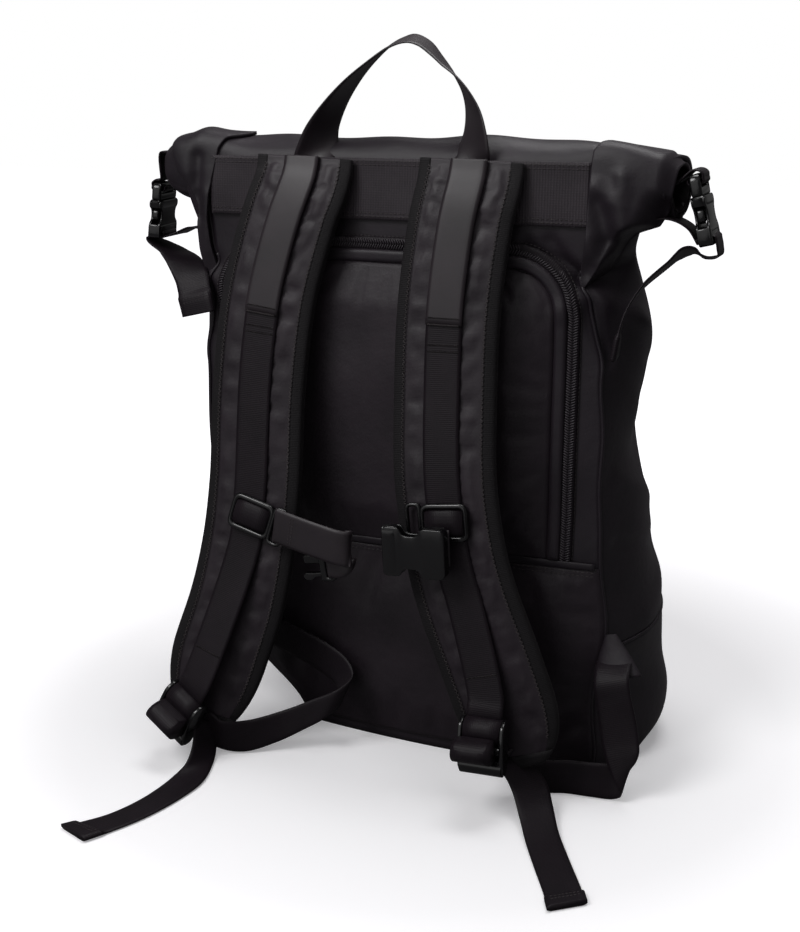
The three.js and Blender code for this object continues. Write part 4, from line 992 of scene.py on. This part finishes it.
def webbingShape(frames, hemEnd=0, hemUp=0):
    length, extra = frames["length"], webbing["hem"] - webbing["thickness"]
    hem = smoothStep(length, length[-1] - hemEnd - 1.5, length[-1] - hemEnd) if hemEnd else 0 * length
    wide = frames.get("span", webbing["width"]) * (1 + webbing["hemSpread"] * hem)
    profile = flatProfile(1, 1, 11, 0.5)
    rings = ringsOf(frames, profile, wide, webbing["thickness"] + hem * extra, hem * hemUp * extra / 2)
    return skin(rings, profile[:, 0] * webbing["width"])


def webbingPiece(name, shapes, material, *nodes):
    return wovenPiece(name, joinedShapes(shapes), material, "webbing", *nodes)


# line straight across a ribbon at some length along it, on the side that faces along its normal times up
def lineAcross(frames, at, up, lift, share, count):
    k = min(max(int(np.searchsorted(frames["length"], at)), 1), len(frames["path"]) - 1)
    outward = frames["normal"][k] * up
    middle = frames["path"][k] + outward * lift
    across = np.linspace(-0.5, 0.5, count)[:, None] * share * webbing["width"] * frames["width"][k]
    return across + middle, outward


def acrossRows(frames, lengths, up, lift=0.85):
    for at in lengths:
        stitchRows.append(running(*lineAcross(frames, at, up, lift, 0.8, 12), 2.4))


def barTack(frames, at, lift, rows):
    for k in range(rows):
        stitchRows.append(zigzag(*lineAcross(frames, at + 1.6 * k, 1, lift, 0.86, 14), 1.3, 0.9))


# paths through the locks are y and z in a lock's own frame
lockPlaces = {"left": placed(-123, -154.5, 46, -15, -26, -8), "right": placed(99.2, -141.5, 61.5, 0, 3, -14)}
turnShift = {"left": 0, "right": -3}  # how far the lower turn of webbing sits to one side of its bar
turnPlaces = {side: place.copy() for side, place in lockPlaces.items()}
for side, place in turnPlaces.items():
    place[:3, 3] += turnShift[side] * place[:3, 0]
topBarPath = [(20, 0.4), (13, 1.2), (8.6, 0.6), (4, -1.5)]
middleBarPath = [
    (-24, -6), (-14, -5), (-6.6, 2), (-6, 12), (-8.4, 20), (-13, 22.2), (-17.8, 20), (-19.8, 12), (-18, 3),
    (-14, -1),
]
# toLock gives the middle and the direction across, edges and tail both edges of the webbing
adjusterLines = {
    "left": {
        "toLock": [
            (-154, -69.3, 92, 0, 0, 1), (-141, -71.5, 91, 0, 0, 1), (-122, -79, 87, 0.1, 0, 1),
            (-80, -84, 76, 0.2, -0.1, 1), (-48, -86, 66, 0.3, -0.05, 0.95), (-29, -90, 57, 0.32, 0, 0.95),
            (-21.5, -98, 48.5, 0.35, 0.15, 0.93), (-29, -106.5, 40, 0.35, 0.2, 0.9),
            (-47, -112, 29.5, 0.25, 0.2, 0.95), (-66, -119, 20, 0.15, 0.2, 0.97), (-88, -132, 14, 0.1, 0.1, 1),
            (-104, -141, 16.5, 0.25, -0.1, 0.97), (-119, -143, 24, 0.6, -0.05, 0.8),
        ],
        "tail": [
            (-118.7, -155.3, 36, -111, -139, 22), (-115.1, -161, 19.7, -108.2, -141, 8.4),
            (-113.7, -171.8, 9.5, -103.6, -152.2, 1.6), (-118.1, -185.6, 1.8, -95.5, -180.3, 1.6),
            (-122, -215.5, 1.2, -98, -206.5, 1.2), (-132, -243, 1.2, -107.5, -238.5, 1.2),
            (-144.6, -259.8, 1.2, -119.8, -262.7, 1.2), (-152, -268.6, 1.2, -128.6, -277, 1.2),
        ],
    },
    "right": {
        "edges": [
            (157, -71, 91, 182, -71, 95), (158, -80, 87, 182.4, -79, 92.5),
            (159.2, -86.5, 79.5, 183, -85.5, 88), (161.7, -88, 67, 185.2, -88, 77),
            (165, -90, 52.3, 189.4, -89, 62), (168.2, -92, 38.7, 193, -91, 46),
            (172.9, -95, 27.4, 194, -93, 37.6), (178.8, -97.5, 15.9, 191.5, -94, 29.5),
            (184.1, -97.5, 6, 187, -93.5, 25.5), (178.5, -96, 1.4, 180, -91.5, 26.2),
            (163, -98, 1, 164, -95.5, 26), (146, -100, 1, 147, -98.5, 26), (130, -105, 1.4, 131, -105, 26.4),
            (118, -113, 12, 121, -114, 36),
        ],
        "toLock": [(106, -124, 40, 0.95, 0, 0.3)],
        "tail": [
            (101, -142, 41, 107, -124, 38), (106, -141.9, 36, 115, -121, 35),
            (113.5, -140.5, 29, 125.5, -118, 30), (120.2, -142.4, 19, 137.5, -121, 19),
            (128.3, -153.1, 9, 145.4, -132, 9), (138.9, -172.4, 3, 155.3, -152.3, 3),
            (152, -196.4, 1.4, 170, -179.4, 1.4), (165, -220.4, 1.2, 184.6, -206, 1.2),
            (171.8, -234.8, 1.2, 191.2, -219.6, 1.2),
        ],
    },
}
anchorLines = {
    "left": [(-142, -66, 99, 0, 0, 1), (-149, -66.5, 97, 0, 0, 1), (-157, -67, 94, 0.2, 0, 1)],
    "right": [(165, -66.5, 110, 0.97, 0, 0.25), (168.5, -70, 97, 0.97, 0, 0.25), (173, -76, 82, 0.97, 0, 0.25)],
}
upperEnd = {"left": 111, "right": 112}  # length of the upper, doubled webbing on each strap
for side in sides:
    coarse = strapFrames(side, 2)
    lift = strapThickness(np.linspace(0, 1, len(coarse["path"]))) / 2 + 1.2
    rows = np.hstack([coarse["path"] + coarse["normal"] * lift[:, None], coarse["width"]])[:-6]
    frames = framesAlong(np.vstack([rows, localRows(topBarPath, lockPlaces[side], 1)]), 7)
    top = cutFrames(frames, 0, int(np.searchsorted(frames["length"], upperEnd[side])))
    top["path"] = top["path"] + top["normal"] * 1.55
    node = "strap_webbing_" + side
    webbingPiece(node + "_woven", [webbingShape(frames)], ribbedWebbing, node)
    webbingPiece(node + "_upper", [webbingShape(top)], satinWebbing)
    barTack(top, top["length"][-1] - 7, 1.0, 3)
    barTack(frames, upperEnd[side] + 5, 0.95, 6)
    barTack(frames, frames["length"][-1] - 42, 1.0, 2)

    lines = adjusterLines[side]
    rows = np.vstack([lines["toLock"], localRows(middleBarPath, turnPlaces[side], 1)])
    edges = np.reshape(lines.get("edges", []), (-1, 6))
    adjuster = framesBetween(np.vstack([edges, edgeRows(rows, webbing["width"])]), 9)
    tail = framesBetween(lines["tail"], 12)
    node = "adjust_webbing_" + side
    shapes = [webbingShape(adjuster), webbingShape(tail, webbing["floorHem"], 1)]
    webbingPiece(node + "_woven", shapes, ribbedWebbing, node)
    end = tail["length"][-1]
    acrossRows(tail, [end - 9.2, end - 7], 1, 3.3)

    tab = framesAlong(anchorLines[side], 10)
    grow = np.linspace(0, 1, len(tab["path"]))
    outerSleeve = ringsOf(tab, roundProfile(1, 1, 28), mix(4, 17.5, grow), mix(1.4, 5, grow))
    innerSleeve = ringsOf(tab, roundProfile(1, 1, 28), mix(2.8, 16.3, grow), mix(0.4, 3.8, grow))[::-1]
    points, faces, uv = skin(np.concatenate([outerSleeve, innerSleeve, outerSleeve[:1]]))
    sleeve = points, faces[:-2], uv  # without the caps
    wovenPiece("anchor_tab_cloth_" + side, sleeve, nylonCloth, "nylon", "anchor_tab_" + side)

# handle: both edges of the loop, from its left end over to its right end
handleEdges = [
    (-71.2, -67.2, 424, -41, -67.2, 424.6), (-67.6, -71, 431.2, -41, -59.4, 432.4),
    (-56.7, -76.6, 447, -43.2, -52.3, 446.2), (-44, -74.7, 463, -38.5, -47.3, 462.8),
    (-29, -71, 478.1, -30, -43, 478.3), (-13.5, -67, 490.1, -20.5, -40, 490.2),
    (-0.3, -63.9, 498.2, -11.1, -38.1, 499.3), (9.6, -62, 500.7, -2.3, -37, 504.4),
    (18, -61.2, 498.8, 6.9, -36.8, 506.7), (27.2, -61.4, 492.6, 18, -36.6, 501.8),
    (36.1, -62.7, 485.7, 26.6, -37.3, 492.4), (45.4, -66.1, 480.3, 35.9, -39.9, 480.9),
    (56.2, -68.4, 470.4, 43.1, -43.6, 469.5), (64.8, -71, 458.5, 47.6, -49, 458.1),
    (69.7, -73.3, 446, 48.8, -54.7, 444.8), (71.9, -72, 432.9, 46.2, -61, 432),
    (71.5, -67.2, 424.6, 44.8, -67.2, 424),
]
webbingPiece("grab_handle_woven", [webbingShape(framesBetween(handleEdges, 8))], satinWebbing, "grab_handle")


# path of webbing through a slot and round the bar beside it
def roundBar(slotPlace, side, thickness):
    out = thickness / 2 + 1.25
    half = [(slotPlace + 3 * side, out), (slotPlace + 0.9 * side, out - 0.1), (slotPlace, out - 2)]
    return half + [(y, -z) for y, z in half[::-1]]


throughMale = roundBar(7.5, 1, 7)
throughFemale = roundBar(-22.2, -1, 9)[::-1]
overTop = [(15.2, -1), (14.6, 2.8), (12.6, 4.9)]
sideBuckles = {"left": placed(-188.5, -48, 393, -80, 0, -6), "right": placed(204.3, -45, 406.5, 90, 0, -14)}
sideBuckles["right"] = sideBuckles["right"] @ np.diag((1, 1.12, 1, 1))  # drawn out to the photo's length
sideLines = {
    "left": {
        "fromNeck": [(-156, -40, 374, 0, 1, 0), (-167, -43, 373, 0, 1, 0), (-177, -47, 369, 0, 1, 0)],
        "tail": [
            (-179, -53, 356, 0.3, 0.95, 0), (-166, -62, 351, 0.7, 0.7, 0.1), (-154, -71, 341, 0.95, 0.3, 0.25),
            (-147.5, -78, 327, 1, 0.05, 0.15), (-144.5, -79, 315, 1, 0, 0.1),
        ],
    },
    "right": {
        "fromNeck": [
            (162, -42, 385, 0, 1, 0), (173, -44, 391, 0, 1, 0), (187, -45, 392.5, 0, 1, 0),
            (199, -45, 387, 0, 1, 0),
        ],
        "tail": [
            (218, -45.5, 370.5, 0, 1, 0), (210, -46, 368.5, 0, 1, -0.1), (202, -47.5, 372, 0, 0.95, -0.3),
            (195, -50, 371, -0.15, 0.9, -0.38), (187, -54, 363.5, -0.25, 0.9, -0.36),
            (173, -62, 349.5, -0.26, 0.9, -0.33), (165, -69, 335, -0.24, 0.95, -0.22),
            (162, -73, 321, -0.18, 1, -0.1), (160, -73.5, 305, -0.12, 1, 0),
        ],
    },
}
for side, mirror in (("left", -1), ("right", 1)):
    crest = rollSize["height"] - droop[side] + 6
    reach = rollSize["halfLength"][side]
    tabRows = [(rollMiddle + mirror * (reach + out), rollSize["centreY"], crest, 0, mirror, 0) for out in (-6, 4)]
    tabRows = np.vstack([tabRows, localRows(overTop + throughMale, sideBuckles[side], 1)])
    node = "roll_tab_" + side
    webbingPiece(node + "_woven", [webbingShape(framesAlong(tabRows, 8))], ribbedWebbing, node)
    through = localRows(throughFemale + [(-29.2, 5.75)], sideBuckles[side], mirror)
    tail = framesAlong(np.vstack([sideLines[side]["fromNeck"], through, sideLines[side]["tail"]]), 9)
    node = "side_webbing_" + side
    webbingPiece(node + "_woven", [webbingShape(tail, webbing["sideHem"])], ribbedWebbing, node)
    end = tail["length"][-1]
    for up in (1, -1):
        acrossRows(tail, [end - 12.5, end - 10], up, 1.8)

# chest strap: both halves hang open, so their buckles lie where the photo has them
femalePlace, malePlace = placed(27, -139, 178, 0, 93), placed(-30, -122, 157.5, -4, -80)
sternumLine = [
    (-60, -131, 181.3, 0.14, 0, 1), (-47, -133.5, 179.3, 0.14, 0, 1), (-25, -136.2, 175.8, 0.1, 0, 1),
    (-9, -136.4, 173, 0.06, 0, 1), (-3.6, -134.4, 172.1, 0.04, 0, 1), (-2.6, -131, 171.4, 0.02, 0, 1),
    (-7, -128.2, 169.8, -0.02, 0, 1), (-12, -127, 166, -0.1, 0, 1),
]
chest = framesAlong(np.vstack([sternumLine, localRows([(17, 4.75)] + throughMale, malePlace, -1)]), 9)
acrossRows(chest, [12, 14.5], 1)
webbingPiece("sternum_webbing_woven", [webbingShape(chest)], satinWebbing, "sternum_webbing")
shortTab = [(-41, -11.9), (-38, -10), (-34, -6.6), (-29, -5.6), (-22, -5.6)]
shortFrames = framesAlong(localRows(shortTab, femalePlace, 1), 9)
webbingPiece("sternum_webbing_short_woven", [webbingShape(shortFrames)], satinWebbing, "sternum_webbing_short")
print("webbing made")


# moulded plates: a flat outline with holes, given thickness and rounded edges
def rounded(outline, radius, steps=5):
    outline = np.asarray(outline, float)
    result = []
    for k in range(len(outline)):
        a, b, c = outline[k - 1], outline[k], outline[(k + 1) % len(outline)]
        cut = min(radius, 0.45 * np.linalg.norm(a - b), 0.45 * np.linalg.norm(c - b))
        start, end = b + unit(a - b) * cut, b + unit(c - b) * cut
        for s in np.linspace(0, 1, steps):
            result.append((1 - s) ** 2 * start + 2 * s * (1 - s) * b + s**2 * end)
    return np.array(result)


def plateShape(outlines, thickness, bevel, shift=0.0):
    curve = bpy.data.curves.new("plate", "CURVE")
    curve.dimensions, curve.fill_mode = "2D", "BOTH"
    curve.extrude, curve.bevel_depth, curve.bevel_resolution = thickness / 2 - bevel, bevel, 2
    curve.offset = -bevel
    for outline in outlines:
        spline = curve.splines.new("POLY")
        spline.points.add(len(outline) - 1)
        for point, (x, y) in zip(spline.points, outline):
            point.co = (x, y, 0, 1)
        spline.use_cyclic_u = True
    mesh = frozen(linked("plate", curve))
    points = np.array([v.co[:] for v in mesh.vertices]) + (0, 0, shift)
    faces = [tuple(p.vertices) for p in mesh.polygons]
    bpy.data.meshes.remove(mesh)
    return points, faces


def box(x, y):
    return [(-x, -y), (x, -y), (x, y), (-x, y)]


def shifted(outline, x, y):
    return [(a + x, b + y) for a, b in outline]


def hardwarePiece(name, shapes, matrix, *nodes):
    points, faces, _ = joinedShapes(shapes)
    piece = meshPiece(name, (moved(points, matrix), faces), acetal)
    work = bmesh.new()
    work.from_mesh(piece.data)
    bmesh.ops.remove_doubles(work, verts=work.verts, dist=2e-6)
    bmesh.ops.recalc_face_normals(work, faces=work.faces)
    work.to_mesh(piece.data)
    work.free()
    piece.data.set_sharp_from_angle(angle=math.radians(35))
    return onBody(piece, "plastic", *nodes)


# a plate stood on edge, its thickness across x
def turnedAcross(shape, x):
    points = np.asarray(shape[0])
    return np.stack([points[:, 2] + x, points[:, 0], points[:, 1]], 1), shape[1]


def movedShape(shape, matrix):
    return (moved(shape[0], matrix), *shape[1:])


# bar across a lock: an oval section from rail to rail
def barShape(y, z, halfLength, halfHeight, halfWidth, count=22):
    ring = roundProfile(halfLength, halfHeight, count) + (y, z)
    return skin([np.column_stack([np.full(count, x * halfWidth), ring]) for x in (-1, -0.3, 0.3, 1)])


# ladder lock: two deep rails, four bars between them, and a turn of webbing over two of the bars
ladderLock = {
    "rail": [(7, -5), (8, 3), (3, 8.8), (-8, 9.4), (-18, 8), (-26, 6), (-30, 2), (-28, -4), (-12, -6)],
    "railAt": (-14.5, 14.5), "railThickness": 2.8,
    "bars": [(0, 0, 4, 3.6, 15), (-13, 4, 3.4, 3.2, 15), (-17.5, -2.6, 6, 2, 14.6), (-24.4, 0.6, 6.2, 6.6, 14.6)],
    "upperTurn": (-1, 0.6, 8.6, 8.2, 12.6), "lowerTurn": (-13.2, 12, 7.9, 11.2, 12.6),
}


def lockShapes(look):
    rail = [rounded(look["rail"], 3)]
    rails = [turnedAcross(plateShape(rail, look["railThickness"], 0.8), x) for x in look["railAt"]]
    return rails + [barShape(*bar) for bar in look["bars"]]


for side in sides:
    hardwarePiece("ladder_lock_moulded_" + side, lockShapes(ladderLock), lockPlaces[side], "ladder_lock_" + side)
    turns = [
        movedShape(barShape(*ladderLock["upperTurn"]), lockPlaces[side]),
        movedShape(barShape(*ladderLock["lowerTurn"]), turnPlaces[side]),
    ]
    webbingPiece("lock_webbing_turns_" + side, turns, ribbedWebbing)

buckleSlot = box(12.9, 1.7)


# female half: two thin plates with a waist, a rounded rim round the mouth and a thick end with the webbing slot
def femaleShapes(look):
    (top, low), deep, end, rimEnd = look["waist"], look["waistDepth"], look["length"], look["rim"]
    wide, narrow, chamfer, slope = 17, 14.5, 2.2, 3.2  # half widths, and heights of the slanted edges
    foot = [(wide, -low), (wide, chamfer - end), (narrow, -end)]
    half = [(wide, 0), (wide, -top), (wide - deep, -top - slope), (wide - deep, -low + slope)] + foot
    outline, block = (edge + [(-x, y) for x, y in edge[::-1]] for edge in (half, foot))
    slot = rounded(shifted(buckleSlot, 0, 5 - end), 1)
    angle = np.linspace(0, 2 * np.pi, 40, endpoint=False)
    c, s = np.cos(angle), np.sin(angle)
    corner = np.stack([np.sign(c) * np.abs(c) ** 0.35, np.sign(s) * np.abs(s) ** 0.5], 1)
    sizes = [
        (0.3, 15, 3.1), (0.6, 16.6, 4.6), (0, 17.4, 5.1), (1.2 - rimEnd, 17.4, 5.1), (-rimEnd, 16.6, 4.5),
        (-rimEnd, 14.6, 2.6), (-1, 14.6, 2.6),
    ]  # y, half width and half thickness of each ring of the rim
    rim = [np.column_stack([corner[:, 0] * x, np.full(40, y), corner[:, 1] * z]) for y, x, z in sizes]
    rimPoints, rimFaces, _ = skin(rim + rim[:1])
    plates = [plateShape([rounded(outline, 2.4)], 2, 0.7, shift) for shift in (3.5, -3.5)]
    return plates + [plateShape([rounded(block, 2), slot], look["block"], 1.6), (rimPoints, rimFaces[:-2])]


# male half: a base with the webbing slot, two sprung arms and a middle guide
def maleShapes():
    base = [(16, 0.3), (16, 10), (13.5, 13), (-13.5, 13), (-16, 10), (-16, 0.3)]
    arm = [(9.2, 2), (12.8, 2), (13, -5), (15.6, -8), (15.6, -12.6), (12.4, -15), (9.6, -13), (9.8, -6)]
    shapes = [plateShape([rounded(base, 2), rounded(shifted(buckleSlot, 0, 7.5), 1)], 7, 1.5)]
    for side in (1, -1):
        shapes.append(plateShape([rounded([(side * x, y) for x, y in arm], 1.4)], 4.4, 0.9))
    shapes.append(plateShape([rounded(shifted(box(3.2, 7), 0, -5.5), 1.6)], 3.6, 0.9))
    return shapes


sideFemale = {"waist": (4.2, 16.6), "waistDepth": 4.4, "length": 27.2, "rim": 4.8, "block": 9.4}
chestFemale = {"waist": (11, 27), "waistDepth": 5.6, "length": 43, "rim": 9, "block": 8.4}
for side in sides:
    node, place = "side_buckle_female_" + side, sideBuckles[side]
    hardwarePiece("side_buckle_socket_" + side, femaleShapes(sideFemale), place, node)
    hardwarePiece("side_buckle_prongs_" + side, maleShapes(), place, node.replace("female", "male"))
hardwarePiece("chest_buckle_socket", femaleShapes(chestFemale), femalePlace, "sternum_buckle_female")
hardwarePiece("chest_buckle_prongs", maleShapes(), malePlace, "sternum_buckle_male")


# slider: a rounded frame on the strap webbing with a smaller loop at its side
def sliderShapes(hookSide):
    frameOutline, frameHole = rounded(box(16.8, 13), 6.4), rounded(box(13.4, 9.2), 3)
    hook = shifted(box(5.8, 14), hookSide * 21.4, 0)
    hookHole = shifted(box(3.2, 11.4), hookSide * 21.4, 0)
    return [
        plateShape([frameOutline, frameHole], 4.6, 1.6, 2),
        plateShape([rounded(hook, 4.4), rounded(hookHole, 2.4)], 3.6, 1.2, 2.6),
    ]


# height, side of the hook, turn, shift across
sliderPlaces = {"left": (183, 1, -11, 4.4), "right": (193, -1, -4, 0)}
for side, (height, hookSide, turn, across) in sliderPlaces.items():
    frames = strapFrames(side, 2)
    k = int(np.argmin(np.abs(frames["path"][:, 2] - height)))
    matrix = np.eye(4)
    matrix[:3, :3] = np.stack([frames["width"][k], -frames["tangent"][k], frames["normal"][k]], 1)
    matrix = matrix @ np.array(Matrix.Rotation(math.radians(turn), 4, "Z"))
    matrix[:3, 3] = frames["path"][k] + frames["normal"][k] * 7.7 + frames["width"][k] * across
    hump = movedShape(barShape(0, 0.6, 9.6, 4, 13.2), matrix)
    webbingPiece("slider_webbing_" + side, [hump], ribbedWebbing)
    hardwarePiece("sternum_slider_moulded_" + side, sliderShapes(hookSide), matrix, "sternum_slider_" + side)
print("hardware made")

beadPiece("stitches", stitchRows, 0.75, 0.5, sewingThread, "webbing")
print("stitches made,", sum(len(row[0]) for row in stitchRows))

# studio: pale floor, white surround, broad soft lights and the camera where the photo was taken from
floorMesh = bpy.data.meshes.new("floor")
floorMesh.from_pydata([(x, y, -0.0002) for x, y in box(6, 6)], [], [(0, 1, 2, 3)])
floor = linked("floor", floorMesh)
floorPaint = mouldedMaterial("paper floor, matte", {
    "colour": "#f4f3f5", "grain": 40, "rough": (0.85, 0.95), "depth": 0.0,
})
floorMesh.materials.append(floorPaint)

# the surround is white to the camera and dim to the cloth, as behind a studio sweep; the floor glows to match it
world = bpy.data.worlds.new("studio")
bpy.context.scene.world = world
world.use_nodes = True
sky = world.node_tree
seen = addNode(sky, "ShaderNodeLightPath")
strength = addNode(
    sky, "ShaderNodeMapRange", {"To Min": 0.12, "To Max": 1.0}, {"Value": seen.outputs["Is Camera Ray"]},
)
sky.nodes["Background"].inputs["Color"].default_value = hexColour("#ffffff")
sky.links.new(strength.outputs[0], sky.nodes["Background"].inputs["Strength"])
paper = floorPaint.node_tree
glow = addNode(paper, "ShaderNodeLightPath")
spot = addNode(paper, "ShaderNodeTexCoord")
away = addNode(paper, "ShaderNodeVectorMath", links={0: spot.outputs["Object"]}, operation="LENGTH")
# painted shade: the floor's glow is weaker near the bag, so the floor round its base is darker, and it rises to
# full white farther out
fade = addNode(
    paper, "ShaderNodeMapRange", {"From Min": 0.28, "From Max": 0.7, "To Min": 0.24, "To Max": 1.0},
    {"Value": away.outputs["Value"]},
)
shine = addNode(
    paper, "ShaderNodeMath", links={0: fade.outputs[0], 1: glow.outputs["Is Camera Ray"]}, operation="MULTIPLY",
)
bounce = addNode(
    paper, "ShaderNodeMix", {"A": hexColour("#737274"), "B": hexColour("#f4f3f5")},
    {"Factor": glow.outputs["Is Camera Ray"]}, data_type="RGBA",
)
paper.links.new(bounce.outputs["Result"], paper.nodes["Principled BSDF"].inputs["Base Color"])
paper.links.new(shine.outputs[0], paper.nodes["Principled BSDF"].inputs["Emission Strength"])
paper.nodes["Principled BSDF"].inputs["Emission Color"].default_value = hexColour("#fdfcff")
bpy.context.scene.view_settings.view_transform = "Standard"


for name, place, target, size, power in (
    ("key softbox", (-0.45, -0.85, 1.2), (0, -0.05, 0.38), 0.6, 7.5),
    ("front softbox", (-0.5, -1.7, 0.8), (0, -0.1, 0.25), 2.0, 6.8),
    ("top softbox", (0.1, 0.15, 1.35), (0, 0, 0.35), 0.8, 9),
    ("floor softbox", (0.9, -1.3, 1.9), (0.3, -0.3, 0), 1.0, 1.6),
):
    light = bpy.data.lights.new(name, "AREA")
    light.shape, light.size, light.energy = "DISK", size, power
    holder = linked(name, light)
    holder.location = place
    holder.rotation_euler = (Vector(target) - Vector(place)).to_track_quat("-Z", "Y").to_euler()

cameraLook = {"place": (342.1, -885.6, 470.9), "azimuth": 22.2, "pitch": 16.2, "lens": 50, "sensor": 36}
camera = linked("camera", bpy.data.cameras.new("camera"))
camera.data.lens, camera.data.sensor_width = cameraLook["lens"], cameraLook["sensor"]
camera.data.sensor_fit = "AUTO"
camera.data.clip_start = 0.05
camera.location = Vector(cameraLook["place"]) * mm
azimuth, pitch = math.radians(cameraLook["azimuth"]), math.radians(cameraLook["pitch"])
sight = Vector((-math.sin(azimuth) * math.cos(pitch), math.cos(azimuth) * math.cos(pitch), -math.sin(pitch)))
camera.rotation_euler = sight.to_track_quat("-Z", "Y").to_euler()
bpy.context.scene.camera = camera
print("studio made")
